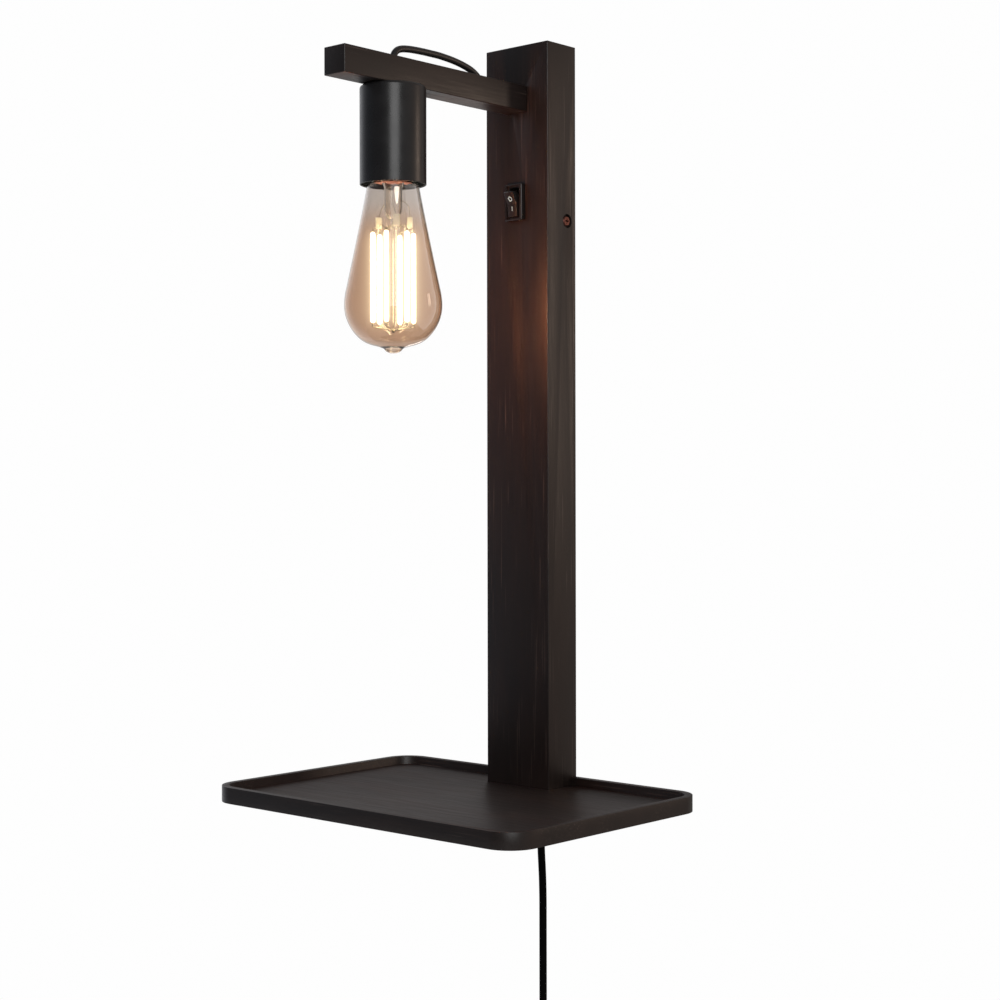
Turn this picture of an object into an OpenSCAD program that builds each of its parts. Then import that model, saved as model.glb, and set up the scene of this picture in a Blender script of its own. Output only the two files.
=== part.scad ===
// Plug-in wall lamp with a shelf: an upright post on a wall bracket, an arm with
// a lamp cup and a screw-in bulb, a rocker switch and a tray at the post's foot.
// Millimetres. X runs along the wall, -Y points away from the wall, +Z is up.
// The wall is the plane Y = 0, and the origin lies on it, midway between the
// bracket's two wall holes.

/* [Post] */
// Width of the post
post_w = 57; // [50:0.5:70]
// Depth of the post, from the wall to its front face
post_d = 30.5; // [30:0.5:40]
// Height of the post's top above the bracket's middle
post_above = 123; // [115:1:160]
// Thickness of the post's front wall, before the hollow back
front_wall = 10.5; // [9:0.5:12]
// Thickness of the post's two side walls
side_wall = 8; // [7:0.5:9]
// Solid wood left above the hollow back
post_cap = 20; // [12:1:28]
// Broken edges of the wooden pieces
wood_edge = 0.4; // [0.4:0.1:1.4]

/* [Arm] */
// Width of the arm
arm_w = 19; // [17:0.5:22]
// Height of the arm
arm_h = 18; // [16.5:0.5:20]
// Reach of the arm's end from the wall
arm_reach = 205.5; // [190:0.5:230]
// Distance from the post's top down to the arm's top
arm_drop = 29; // [26:0.5:34]
// Distance from the wall to the lamp's axis
lamp_y = 153; // [130:1:165]
// Bore for the lamp cable
cable_bore = 6; // [5.6:0.1:6.4]
// Diameter of the two arm screws
arm_screw_d = 3; // [2.6:0.1:3.2]
// Length of the arm screws in the arm
arm_screw_bite = 22; // [16:1:30]

/* [Shelf] */
// Width of the shelf along the wall
tray_w = 277; // [240:1:330]
// Depth of the shelf from the wall
tray_d = 193; // [180:1:230]
// Overall height of the shelf's edge
tray_h = 11; // [10:0.5:16]
// Thickness of the shelf's floor
tray_floor = 5.25; // [4.5:0.25:7]
// How deep the post's foot is let into that floor
post_sink = 1.5; // [1:0.25:2.5]
// Width of the raised rim
tray_rim = 5.25; // [4:0.25:8]
// Corner radius of the shelf
tray_corner = 20; // [9:0.5:25]
// Distance from the bracket's middle down to the shelf's underside
shelf_drop = 401; // [340:1:460]

/* [Wall bracket] */
// Thickness of the bracket's steel
bracket_t = 1.5; // [1.2:0.1:2]
// Height of the bracket
bracket_h = 60; // [54:1:66]
// Depth of the bracket's two side tabs
bracket_tab = 15.5; // [14:0.5:17]
// Distance between the two wall holes
wall_hole_pitch = 40; // [34:1:44]
// Diameter of the wall holes
wall_hole_d = 5; // [4:0.5:6]
// Distance from the wall to the side screws
side_screw_y = 9.2; // [8:0.1:10.5]
// Diameter of the side screws' thread
side_screw_d = 4; // [3.5:0.1:4.2]
// Diameter of the side screws' heads
side_head_d = 7.2; // [6.8:0.1:8]
// Diameter of the counterbores round those heads
counterbore_d = 9.6; // [9:0.1:11]

/* [Lamp cup] */
// Outer diameter of the cup
cup_d = 43.6; // [43:0.1:48]
// Height of the cup
cup_h = 64.5; // [63:0.5:72]
// Thickness of the cup's metal
cup_t = 0.9; // [0.6:0.1:1.2]
// Diameter of the hollow threaded tube
nipple_d = 10; // [9.6:0.1:10.4]
// Bore of the hollow threaded tube
nipple_bore = 7; // [6.6:0.1:7.2]

/* [Lampholder and bulb] */
// Outer diameter of the lampholder
holder_d = 38.4; // [37:0.1:39.4]
// Inner diameter of the screw shell
shell_d = 27; // [26.9:0.05:27.4]
// Largest diameter of the bulb cap's thread
cap_thread_d = 26.3; // [26:0.05:26.5]
// Length of the bulb's metal cap with its insulator
cap_len = 26.5; // [25:0.25:28]
// Largest diameter of the bulb's glass
bulb_d = 64; // [60:0.5:70]
// Length of the bulb from its centre contact to the tip of its glass
bulb_len = 139.5; // [136:0.5:150]
// Travel of the bulb for each turn
thread_pitch = 3.62; // [3.62:0.01:3.63]
// Number of filaments
filaments = 6; // [4:1:8]
// Radius of the ring on which the filaments stand
filament_ring = 13.5; // [11:0.5:16]
// Length of a filament
filament_len = 59; // [50:1:62]

/* [Switch] */
// Width of the switch's bezel
bezel_w = 15.8; // [15:0.1:17]
// Height of the switch's bezel
bezel_h = 25.4; // [25:0.1:27]
// Thickness of the bezel in front of the post
bezel_t = 4; // [3:0.1:4.6]
// Height of the switch's middle above the bracket's middle
switch_z = 13.2; // [10:0.5:18]
// Width of the rocker
rocker_w = 8.2; // [7.8:0.1:9.4]
// Tilt of the rocker each way from its middle
rocker_tilt = 17; // [14:0.5:17]
// Diameter of the rocker's pivot pins
pivot_d = 2.4; // [2:0.1:2.6]

/* [Cables] */
// Diameter of the mains cord
cord_d = 5.4; // [5.2:0.1:5.6]
// Diameter of the lamp cable that loops over the arm
cable_d = 4.6; // [4.4:0.1:4.8]
// Diameter of an insulated core
core_d = 1.9; // [1.6:0.1:2]
// Distance from the wall to the cord where it leaves the shelf
exit_y = 5.4; // [5.4:0.1:6]
// Length of the strain relief below the shelf
relief_len = 25; // [20:1:34]
// Turns of the stored hank
hank_turns = 5; // [5:2:7]
// Straight run of the hank between its end folds
hank_run = 97; // [81:1:108]
// Radius of the hank's innermost fold
hank_fold = 16.2; // [16.2:0.1:20]
// Step from one loop of the hank to the next
hank_step = 6.6; // [6.4:0.1:7.5]
// Step from the hank's back layer to its front layer
hank_layer = 6; // [5.9:0.1:7]
// How far the tie draws in each side of the hank
hank_waist = 8; // [0:0.5:9]

/* [Plug] */
// Width of the plug
plug_w = 35.3; // [33:0.1:37]
// Thickness of the plug
plug_t = 13.7; // [13:0.1:15]
// Length of the plug's body
plug_len = 36; // [34:0.5:42]
// Diameter of the plug's pins
pin_d = 4; // [4:0.1:4.8]
// Length of the plug's pins
pin_len = 19; // [18:0.5:20]

/* [Hidden] */
$fn = 64;
// Small clearance of pieces that are fitted together
fit_gap = 0.15;
// Working clearance of soft pieces and loosely seated ones
seat_gap = 0.3;
// Radial gap drawn at screw threads
thread_gap = 0.1;
// Extra length that cuts run past a face, and the least that they run past it
over = 1;
hair = 0.01;

// Levels and places that follow from the sizes above
post_top = post_above;
arm_top = post_top - arm_drop;
arm_bottom = arm_top - arm_h;
arm_mid = arm_bottom + arm_h / 2;
tray_bottom = -shelf_drop;
tray_seat = tray_bottom + tray_floor;
foot_z = tray_seat - post_sink;
tray_top = tray_bottom + tray_h;
hollow_w = post_w - 2 * side_wall;
hollow_d = post_d - front_wall;
hollow_top = post_top - post_cap;
hollow_face = -hollow_d;
cup_bottom = arm_bottom - cup_h;
bezel_face = -post_d - bezel_t;

// Lampholder levels, measured up from the cup's mouth
holder_rise = 4;
holder_bottom = cup_bottom + holder_rise;
cap_rim = holder_bottom - 1;
contact_tip = cap_rim + cap_len;
shell_rise = 1.6;
shell_len = 20;
shell_t = 0.4;
insulator_bottom = contact_tip + 3;
insulator_t = 8;
insulator_top = insulator_bottom + insulator_t;
holder_wall = 1.6;
holder_top = arm_bottom - cup_t;
bulb_tip = contact_tip - bulb_len;

// ---------------------------------------------------------------- shapes

// A rectangle from corner a to corner b with its corners cut off by c
module cut_rect(a, b, c) {
    polygon([[a[0] + c, a[1]], [b[0] - c, a[1]], [b[0], a[1] + c], [b[0], b[1] - c],
        [b[0] - c, b[1]], [a[0] + c, b[1]], [a[0], b[1] - c], [a[0], a[1] + c]]);
}

// A box from corner a to corner b with all its edges broken by c
module broken_box(a, b, c) {
    intersection() {
        translate([0, 0, a[2]]) linear_extrude(b[2] - a[2]) cut_rect([a[0], a[1]], [b[0], b[1]], c);
        translate([0, b[1], 0]) rotate([90, 0, 0])
            linear_extrude(b[1] - a[1]) cut_rect([a[0], a[2]], [b[0], b[2]], c);
        translate([a[0], 0, 0]) rotate([90, 0, 90])
            linear_extrude(b[0] - a[0]) cut_rect([a[1], a[2]], [b[1], b[2]], c);
    }
}

// A box from corner a to corner b
module block(a, b) {
    translate(a) cube(b - a);
}

// A rectangle w by d about the origin with round corners
module round_rect(w, d, r) {
    square([w - 2 * r, d], center = true);
    square([w, d - 2 * r], center = true);
    for (sx = [-1, 1], sy = [-1, 1]) translate([sx * (w / 2 - r), sy * (d / 2 - r)]) circle(r);
}

// Cylinders that run from p along +X, +Y, -Y or +Z
module rod_x(p, d, len) { translate(p) rotate([0, 90, 0]) cylinder(d = d, h = len); }
module rod_y(p, d, len) { translate(p) rotate([-90, 0, 0]) cylinder(d = d, h = len); }
module rod_z(p, d, len) { translate(p) cylinder(d = d, h = len); }

// A turned tube between two levels
module pipe(d_out, d_in, z0, z1) {
    translate([0, 0, z0]) difference() {
        cylinder(d = d_out, h = z1 - z0);
        translate([0, 0, -over]) cylinder(d = d_in, h = z1 - z0 + 2 * over);
    }
}

module at_lamp() { translate([0, -lamp_y, 0]) children(); }

// A cross recess, cut from the origin along +Z
module cross_recess(size, deep) {
    for (a = [0, 90]) rotate([0, 0, a])
        translate([-size / 2, -size / 8, -over]) cube([size, size / 4, deep + over]);
}

// ---------------------------------------------------------------- tubes

function unit(v) = v / norm(v);

// Points of one ring of a tube round point i of a path, square to the path there
function ring(path, i, r, sides, side_ref) =
    let (n = len(path) - 1,
        t = unit(path[min(i + 1, n)] - path[max(i - 1, 0)]),
        s = unit(cross(t, side_ref)),
        u = cross(s, t))
    [for (k = [0:sides - 1]) path[i] + r * (cos(360 * k / sides) * s + sin(360 * k / sides) * u)];

// One unbroken tube along a path, closed by fans at both ends
module tube(path, d, sides, side_ref) {
    n = len(path);
    points = concat([for (i = [0:n - 1]) each ring(path, i, d / 2, sides, side_ref)],
        [path[0], path[n - 1]]);
    walls = [for (i = [0:n - 2], k = [0:sides - 1])
        let (a = i * sides + k, b = i * sides + (k + 1) % sides)
        each [[a, b, b + sides], [a, b + sides, a + sides]]];
    caps = [for (k = [0:sides - 1])
        let (a = k, b = (k + 1) % sides, e = (n - 1) * sides)
        each [[b, a, n * sides], [e + a, e + b, n * sides + 1]]];
    polyhedron(points, concat(walls, caps), convexity = 12);
}

// The straight-line length of a path, and the least distance between its points
// that lie further than skip points apart along it
function path_length(p, i = 0) = i >= len(p) - 1 ? 0 : norm(p[i + 1] - p[i]) + path_length(p, i + 1);
function least_gap(p, skip) =
    min([for (i = [0:len(p) - 1]) for (j = [i + skip:1:len(p) - 1]) norm(p[i] - p[j])]);

// ---------------------------------------------------------------- wooden pieces

// The switch's hole in the post, and how far the bezel laps over its sides and ends
lap_x = 1;
lap_z = 1.2;
cutout_w = bezel_w - 2 * lap_x;
cutout_h = bezel_h - 2 * lap_z;
// Places of the tray screws, in the post's front wall
tray_screw_inset = 4;
tray_screw_x = post_w / 2 - side_wall - tray_screw_inset;
tray_screw_y = post_d - front_wall / 2;
tray_screw_d = 3.5;
tray_screw_len = 32;
counterbore_deep = 2.6;
relief_d = 9;
// Depth of the pilot holes for the small screws inside the post
pilot_deep = 7;

module side_screw_holes(d, x0, x1) {
    for (s = [-1, 1]) scale_x(s) rod_x([x0, -side_screw_y, 0], d, x1 - x0);
}

// Mirrors its child to the other side of the middle where s is -1
module scale_x(s) { mirror([s < 0 ? 1 : 0, 0, 0]) children(); }

module post() {
    color([0.11, 0.09, 0.085]) difference() {
        broken_box([-post_w / 2, -post_d, foot_z], [post_w / 2, 0, post_top], wood_edge);
        block([-hollow_w / 2, hollow_face, foot_z - over], [hollow_w / 2, over, hollow_top]);
        // Hole for the switch, passage for the lamp cable and pilot holes for the screws
        block([-cutout_w / 2, -post_d - over, switch_z - cutout_h / 2],
            [cutout_w / 2, hollow_face + over, switch_z + cutout_h / 2]);
        rod_y([0, -post_d - over, arm_mid], cable_bore, front_wall + 2 * over);
        for (s = [-1, 1]) {
            rod_y([s * arm_screw_x, -post_d - over, arm_mid + s * arm_screw_z], arm_screw_d,
                front_wall + 2 * over);
            rod_z([s * tray_screw_x, -tray_screw_y, foot_z - over], tray_screw_d,
                post_sink + tray_screw_len + over);
        }
        side_screw_holes(side_screw_d + 2 * fit_gap, hollow_w / 2 - over, post_w / 2 + over);
        side_screw_holes(counterbore_d, post_w / 2 - counterbore_deep, post_w / 2 + over);
        for (z = [block_z, clamp_z])
            rod_y([0, hollow_face - pilot_deep, z], small_screw_d, pilot_deep + over);
    }
}

module tray() {
    least_corner = 2;
    rim_inner = max(tray_corner - tray_rim, least_corner);
    color([0.1, 0.08, 0.085]) difference() {
        translate([0, -tray_d / 2, tray_bottom]) linear_extrude(tray_h)
            round_rect(tray_w, tray_d, tray_corner);
        translate([0, -tray_d / 2, tray_seat]) linear_extrude(tray_h)
            round_rect(tray_w - 2 * tray_rim, tray_d - 2 * tray_rim, rim_inner);
        // The post's foot stands in this notch, let into the floor
        block([-post_w / 2 - fit_gap, -post_d - fit_gap, foot_z],
            [post_w / 2 + fit_gap, over, tray_top + over]);
        // Notch at the wall for the cord's strain relief
        rod_z([0, -exit_y, tray_bottom - over], relief_d, tray_floor + 2 * over);
        block([-relief_d / 2, -exit_y, tray_bottom - over], [relief_d / 2, over, tray_seat + over]);
        for (s = [-1, 1]) translate([s * tray_screw_x, -tray_screw_y, tray_bottom]) {
            rod_z([0, 0, -over], tray_screw_d + 2 * fit_gap, tray_floor + 2 * over);
            translate([0, 0, -hair])
                cylinder(d1 = 2 * tray_screw_d + 2 * hair, d2 = tray_screw_d,
                    h = tray_screw_d / 2 + 2 * hair);
        }
    }
}

module tray_screws() {
    head_h = tray_screw_d / 2;
    color([0.2, 0.2, 0.2])
        for (s = [-1, 1]) translate([s * tray_screw_x, -tray_screw_y, tray_bottom]) difference() {
            union() {
                cylinder(d1 = 2 * tray_screw_d - 2 * fit_gap, d2 = tray_screw_d - 2 * fit_gap, h = head_h);
                cylinder(d = tray_screw_d - 2 * fit_gap, h = tray_floor + tray_screw_len - 1);
            }
            cross_recess(size = 3, deep = 1.2);
        }
}

// The arm's cable holes: up through the lamp's axis, and back down at a slant
// into a bore that runs to the post
loop_y = 69;
slant = 38;
arm_screw_x = 5.4;
arm_screw_z = 4.6;
// The nut and the tube's end lie below the arm's top, in a counterbore
nut_d = 13.5;
nut_h = 3;
nut_sink = 1;

module arm() {
    color([0.12, 0.1, 0.095]) difference() {
        broken_box([-arm_w / 2, -arm_reach, arm_bottom], [arm_w / 2, -post_d, arm_top], wood_edge);
        at_lamp() rod_z([0, 0, arm_bottom - over], nipple_d + 2 * fit_gap, arm_h + 2 * over);
        at_lamp() rod_z([0, 0, arm_top - nut_sink - nut_h], nut_d + 2 * seat_gap, nut_h + nut_sink + over);
        bore_end = loop_y - (arm_top - arm_mid) / tan(slant);
        rod_y([0, -bore_end - cable_bore / 2, arm_mid], cable_bore,
            bore_end + cable_bore / 2 - post_d + over);
        translate([0, -bore_end, arm_mid]) rotate([90 - slant, 0, 0])
            cylinder(d = cable_bore, h = arm_h);
        for (s = [-1, 1])
            rod_y([s * arm_screw_x, -post_d - arm_screw_bite - over, arm_mid + s * arm_screw_z],
                arm_screw_d, arm_screw_bite + 2 * over);
    }
}

module arm_screws() {
    head_h = 2;
    color([0.75, 0.72, 0.6])
        for (s = [-1, 1]) translate([s * arm_screw_x, hollow_face, arm_mid + s * arm_screw_z])
            rotate([90, 0, 0]) difference() {
                union() {
                    cylinder(d = arm_screw_d - 2 * thread_gap, h = front_wall + arm_screw_bite);
                    translate([0, 0, -head_h]) cylinder(d = 2 * arm_screw_d, h = head_h);
                }
                translate([0, 0, -head_h]) cross_recess(size = 2.6, deep = 1);
            }
}

// ---------------------------------------------------------------- wall bracket

bracket_w = hollow_w - 2 * seat_gap;

module wall_bracket() {
    color([0.75, 0.76, 0.78]) difference() {
        union() {
            block([-bracket_w / 2, -bracket_t, -bracket_h / 2], [bracket_w / 2, 0, bracket_h / 2]);
            for (s = [-1, 1]) scale_x(s)
                block([bracket_w / 2 - bracket_t, -bracket_tab, -bracket_h / 2],
                    [bracket_w / 2, 0, bracket_h / 2]);
        }
        for (s = [-1, 1])
            rod_y([0, -bracket_t - over, s * wall_hole_pitch / 2], wall_hole_d, bracket_t + 2 * over);
        side_screw_holes(side_screw_d, bracket_w / 2 - bracket_t - over, bracket_w / 2 + over);
    }
}

module side_screws() {
    head_h = 2.3;
    bevel = 0.6;
    shank_past = 2;
    head_seat = post_w / 2 - counterbore_deep;
    shank_end = bracket_w / 2 - bracket_t - shank_past;
    color([0.1, 0.1, 0.1]) for (s = [-1, 1]) scale_x(s) translate([0, -side_screw_y, 0]) rotate([0, 90, 0])
        difference() {
            union() {
                translate([0, 0, shank_end])
                    cylinder(d = side_screw_d - 2 * thread_gap, h = head_seat - shank_end + head_h / 4);
                translate([0, 0, head_seat]) cylinder(d = side_head_d, h = head_h - bevel);
                translate([0, 0, head_seat + head_h - bevel])
                    cylinder(d1 = side_head_d, d2 = side_head_d - 2.5 * bevel, h = bevel);
            }
            translate([0, 0, head_seat + head_h]) rotate([180, 0, 0]) cross_recess(size = 3.6, deep = 1.5);
        }
}

// ---------------------------------------------------------------- lamp cup and lampholder

// The cup's outline: a closed top with a rounded edge, open below
module lamp_cup() {
    edge = 2.2;
    r = cup_d / 2;
    color([0.07, 0.065, 0.065]) at_lamp() difference() {
        translate([0, 0, cup_bottom]) rotate_extrude() union() {
            square([r, cup_h - edge]);
            square([r - edge, cup_h]);
            translate([r - edge, cup_h - edge]) intersection() {
                circle(edge);
                square(edge);
            }
        }
        translate([0, 0, cup_bottom - over]) cylinder(r = r - cup_t, h = cup_h - edge + over);
        translate([0, 0, cup_bottom]) cylinder(r = r - edge, h = cup_h - cup_t);
        rod_z([0, 0, arm_bottom - cup_t - over], nipple_d + 2 * fit_gap, cup_t + 2 * over);
    }
}

module nipple() {
    color([0.7, 0.71, 0.72]) at_lamp()
        pipe(nipple_d, nipple_bore, holder_top - cap_neck, arm_top - nut_sink - thread_gap);
}

module nipple_nut() {
    color([0.7, 0.71, 0.72]) at_lamp()
        pipe(nut_d, nipple_d + 2 * thread_gap, arm_top - nut_sink - nut_h, arm_top - nut_sink);
}

// A plastic bush that lines the tube's top end and carries the cable over its edge
module cable_bush() {
    bush_len = 8;
    flange_h = 1.6;
    color([0.05, 0.05, 0.05]) at_lamp() difference() {
        union() {
            rod_z([0, 0, arm_top - bush_len], nipple_bore - thread_gap, bush_len);
            rod_z([0, 0, arm_top - nut_sink], nipple_d, flange_h);
        }
        rod_z([0, 0, arm_top - bush_len - over], cable_d + 2 * seat_gap, bush_len + flange_h + 2 * over);
    }
}

cap_neck = 9;

// The lampholder's upper half, screwed on to the hollow tube
module holder_cap() {
    shoulder = 3;
    neck_wall = 2;
    color([0.06, 0.06, 0.06]) at_lamp() difference() {
        union() {
            pipe(holder_d, holder_d - 2 * holder_wall, insulator_top, holder_top - shoulder);
            translate([0, 0, holder_top - shoulder])
                cylinder(d1 = holder_d, d2 = holder_d - 4, h = shoulder);
            rod_z([0, 0, holder_top - cap_neck], nipple_d + 2 * neck_wall, cap_neck - 1);
        }
        rod_z([0, 0, holder_top - cap_neck - over], nipple_d + 2 * thread_gap, cap_neck + 2 * over);
    }
}

// Places and sizes of the two terminals that stand in the insulating disc, and of
// the rivet through its middle
terminal_x = 11;
terminal_w = 6;
terminal_d = 8;
terminal_seat = insulator_bottom + 2.5;
terminal_gap = 0.2;
rivet_d = 2.6;

module terminal_box(s, gap, top) {
    block([s * terminal_x - terminal_w / 2 - gap, -terminal_d / 2 - gap, terminal_seat],
        [s * terminal_x + terminal_w / 2 + gap, terminal_d / 2 + gap, top]);
}

// The insulating disc that carries the contacts and the terminals
module holder_insulator() {
    disc_t = 5.5;
    color([0.85, 0.84, 0.8]) at_lamp() difference() {
        rod_z([0, 0, insulator_bottom], holder_d - 2 * holder_wall - 2 * fit_gap, disc_t);
        for (s = [-1, 1]) terminal_box(s, terminal_gap, insulator_top);
        rod_z([0, 0, insulator_bottom - over], rivet_d + 2 * terminal_gap, insulator_t + 2 * over);
    }
}

// The lower half, a sleeve with a ledge that the insulator rests on
module holder_body() {
    color([0.06, 0.06, 0.06]) at_lamp() difference() {
        rod_z([0, 0, holder_bottom], holder_d, insulator_top - holder_bottom);
        rod_z([0, 0, holder_bottom - over], shell_d + 2 * shell_t + 2 * fit_gap, insulator_top);
        rod_z([0, 0, insulator_bottom - hair], holder_d - 2 * holder_wall, insulator_t + over);
    }
}

// The shell's two tabs reach up to the insulator
module screw_shell() {
    z0 = holder_bottom + shell_rise;
    tab_w = 6;
    color([0.8, 0.66, 0.36]) at_lamp() {
        pipe(shell_d + 2 * shell_t, shell_d, z0, z0 + shell_len);
        intersection() {
            pipe(shell_d + 2 * shell_t, shell_d, z0 + shell_len - over, insulator_bottom);
            block([-tab_w / 2, -shell_d, z0], [tab_w / 2, shell_d, insulator_bottom]);
        }
    }
}

// A sprung tongue under the insulator that the bulb's tip presses on, with the
// rivet that holds it
module centre_contact() {
    t = 0.5;
    w = 6;
    bend_x = -9;
    tip_x = 5;
    tip_z = contact_tip + 0.25;
    color([0.85, 0.7, 0.4]) at_lamp() {
        block([bend_x, -w / 2, insulator_bottom - t], [4, w / 2, insulator_bottom]);
        rod_z([0, 0, insulator_bottom - hair], rivet_d, rivet_d);
        translate([0, w / 2, 0]) rotate([90, 0, 0]) linear_extrude(w)
            polygon([[bend_x, insulator_bottom - t], [bend_x + t, insulator_bottom - t], [2, tip_z + t],
                [tip_x, tip_z + t], [tip_x, tip_z], [1.6, tip_z]]);
    }
}

module holder_terminals() {
    color([0.8, 0.66, 0.36]) at_lamp() for (s = [-1, 1]) difference() {
        terminal_box(s, 0, insulator_top + over);
        rod_z([s * terminal_x, 0, insulator_bottom + insulator_t / 2], core_d + 2 * seat_gap, insulator_t);
    }
}

// ---------------------------------------------------------------- bulb

cap_root_d = cap_thread_d - 1.9;
cap_grooves = 4;
insulator_ring = 5.5;

// The cap: a thin shell whose wavy wall stands for the thread's rounded ridges
module bulb_cap() {
    wall = 0.35;
    crown_r = 9.5;
    shoulder_r = 11.5;
    shoulder_drop = 0.6;
    thread_drop = 1.5;
    skirt_r = cap_thread_d / 2 + 0.1;
    skirt_drop = thread_drop + cap_grooves * thread_pitch + 1;
    z0 = contact_tip - insulator_ring;
    steps = 8;
    wave = [for (i = [0:cap_grooves * steps])
        [(cap_thread_d + cap_root_d) / 4 + (cap_thread_d - cap_root_d) / 4 * cos(360 * i / steps),
            z0 - thread_drop - thread_pitch * i / steps]];
    outer = concat([[crown_r, z0], [shoulder_r, z0 - shoulder_drop]], wave,
        [[skirt_r, z0 - skirt_drop], [skirt_r, cap_rim]]);
    inner = [for (i = [len(outer) - 1:-1:0]) outer[i] - [wall, i < 2 ? wall : 0]];
    color([0.78, 0.66, 0.42]) at_lamp() rotate_extrude() polygon(concat(outer, inner));
}

// The contact's shank and head, and how far its head stands above the insulator
shank_d = 4.2;
contact_d = 9;
contact_rise = 1.2;

module bulb_insulator() {
    bore_r = shank_d / 2 + 0.1;
    base_r = 9.4;
    rim_r = 8.6;
    rim_rise = 1.6;
    top_r = 5;
    z0 = contact_tip - insulator_ring;
    z1 = contact_tip - contact_rise;
    color([0.03, 0.03, 0.05]) at_lamp() rotate_extrude()
        polygon([[bore_r, z0], [base_r, z0], [rim_r, z0 + rim_rise], [top_r, z1], [bore_r, z1]]);
}

module bulb_contact() {
    dome_r = 6;
    head_t = 1;
    shank_len = 3;
    color([0.8, 0.8, 0.8]) at_lamp() {
        rod_z([0, 0, contact_tip - head_t - shank_len], shank_d, shank_len);
        intersection() {
            translate([0, 0, contact_tip - dome_r]) sphere(r = dome_r);
            rod_z([0, 0, contact_tip - head_t - hair], contact_d, head_t + over);
        }
    }
}

// A narrow board that stands in the cap, with one chip on it
module bulb_driver() {
    board_w = 14;
    board_t = 1.6;
    board_z = cap_rim + 7;
    chip = [6, 3.5, 6];
    color([0.1, 0.3, 0.15]) at_lamp() {
        block([-board_w / 2, 0, board_z], [board_w / 2, board_t, contact_tip - insulator_ring]);
        translate([-chip[0] / 2, -chip[1], board_z + chip[2] / 2]) cube(chip);
    }
}

// Heights and radii of the glass. From the widest place it is a straight cone up
// to the neck and half an ellipse below.
belly_drop = 29.8;
belly_z = bulb_tip + 1.6 + belly_drop;
cone_top_r = 16.9;
cone_top_z = cap_rim - 3;
shoulder_z = belly_z + 8;
shoulder_r = bulb_d / 2 - 0.75;
neck_r = cap_thread_d / 2 - 0.65;
neck_top = cap_rim + 1.2;
glass_t = 0.7;

function glass_outline(t) = concat(
    [[neck_r - t, neck_top], [neck_r - t, cap_rim - 0.4], [neck_r + 2 - t, cap_rim - 1.4],
        [cone_top_r - t, cone_top_z]],
    [for (i = [1:7]) let (part = i / 7)
        [cone_top_r - t + (shoulder_r - cone_top_r) * part, cone_top_z + (shoulder_z - cone_top_z) * part]],
    [[bulb_d / 2 - 0.15 - t, belly_z + 3.5]],
    [for (a = [0:7.5:90]) [(bulb_d / 2 - t) * cos(a), belly_z - (belly_drop - t) * sin(a)]]);

// Blown glass, thin all over, with the sealed nub at its tip
module bulb_glass() {
    outer = glass_outline(0);
    inner = glass_outline(glass_t);
    color([1, 0.85, 0.65, 0.3]) at_lamp() difference() {
        union() {
            rotate_extrude() polygon(concat([[0, neck_top]], outer));
            translate([0, 0, bulb_tip]) cylinder(r1 = 1.4, r2 = 4.5, h = 2.4);
        }
        rotate_extrude()
            polygon(concat([[0, neck_top + over], [neck_r - glass_t, neck_top + over]], inner));
    }
}

// How far the stem and the filaments' upper ends lie below the cap's rim
stem_drop = 27;
ring_drop = 34.2;
stem_bottom = cap_rim - stem_drop;
ring_top = cap_rim - ring_drop;
ring_bottom = ring_top - filament_len;
ring_phase = 56;

// Radius and wall of the stem, and the length of its rounded lower end
stem_r = 6;
stem_t = 1;
stem_round = 10;

// The stem's side at a depth t in its glass, from its lower end up to its flare
function stem_side(t) = concat(
    [for (a = [30:12:90]) [(stem_r - t) * sin(a), stem_bottom + t + stem_round * (1 - cos(a))]],
    [[stem_r - t, cap_rim - 4], [stem_r + 2 - t, cap_rim - 1.2]]);

// The glass tube that carries the filaments, flared on to the neck's wall
module bulb_stem() {
    flare_r = neck_r - glass_t - 0.05;
    flare_z = cap_rim + 0.6;
    foot_r = 2;
    outer = stem_side(0);
    inner = stem_side(stem_t);
    color([0.95, 0.9, 0.85, 0.4]) at_lamp() rotate_extrude() polygon(concat(
        [[0, stem_bottom], [foot_r, stem_bottom]], outer,
        [[flare_r, flare_z], [flare_r, neck_top], [flare_r - stem_t, neck_top]],
        [for (i = [len(inner) - 1:-1:0]) inner[i]], [[0, inner[0][1]]]));
}

module on_ring() {
    for (k = [0:filaments - 1]) rotate([0, 0, ring_phase + 360 * k / filaments])
        translate([filament_ring, 0, 0]) children();
}

filament_d = 2.4;

module bulb_filaments() {
    color([1, 0.85, 0.5]) at_lamp() on_ring() rod_z([0, 0, ring_bottom], filament_d, filament_len);
}

wire_d = 0.8;
// The beads on the axis that the spokes start from, and how deep they start in them
hub_r = 1.6;
spoke_in = 0.6;
// How far the spokes' ends lie past the filaments' ends
spoke_past = 0.75;

// One ring of wires from a bead on the axis out to the filaments' ends
module spokes(centre_z, end_z) {
    fall = centre_z - end_z;
    start = hub_r - spoke_in;
    translate([0, 0, centre_z]) sphere(hub_r, $fn = 24);
    for (k = [0:filaments - 1]) rotate([0, 0, ring_phase + 360 * k / filaments])
        translate([0, 0, centre_z]) rotate([0, 90 + atan2(fall, filament_ring), 0])
            translate([0, 0, start]) cylinder(d = wire_d, h = norm([filament_ring, fall]) - start);
}

// The wires that hold the filaments: a rod down from the stem and two rings of spokes
module bulb_wires() {
    foot_drop = 6;
    foot = ring_bottom - foot_drop;
    color([0.8, 0.8, 0.82]) at_lamp() {
        rod_z([0, 0, foot], wire_d, stem_bottom - hub_r - foot);
        spokes(stem_bottom - hub_r, ring_top + spoke_past);
        spokes(foot, ring_bottom - spoke_past);
    }
}

// ---------------------------------------------------------------- switch

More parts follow.
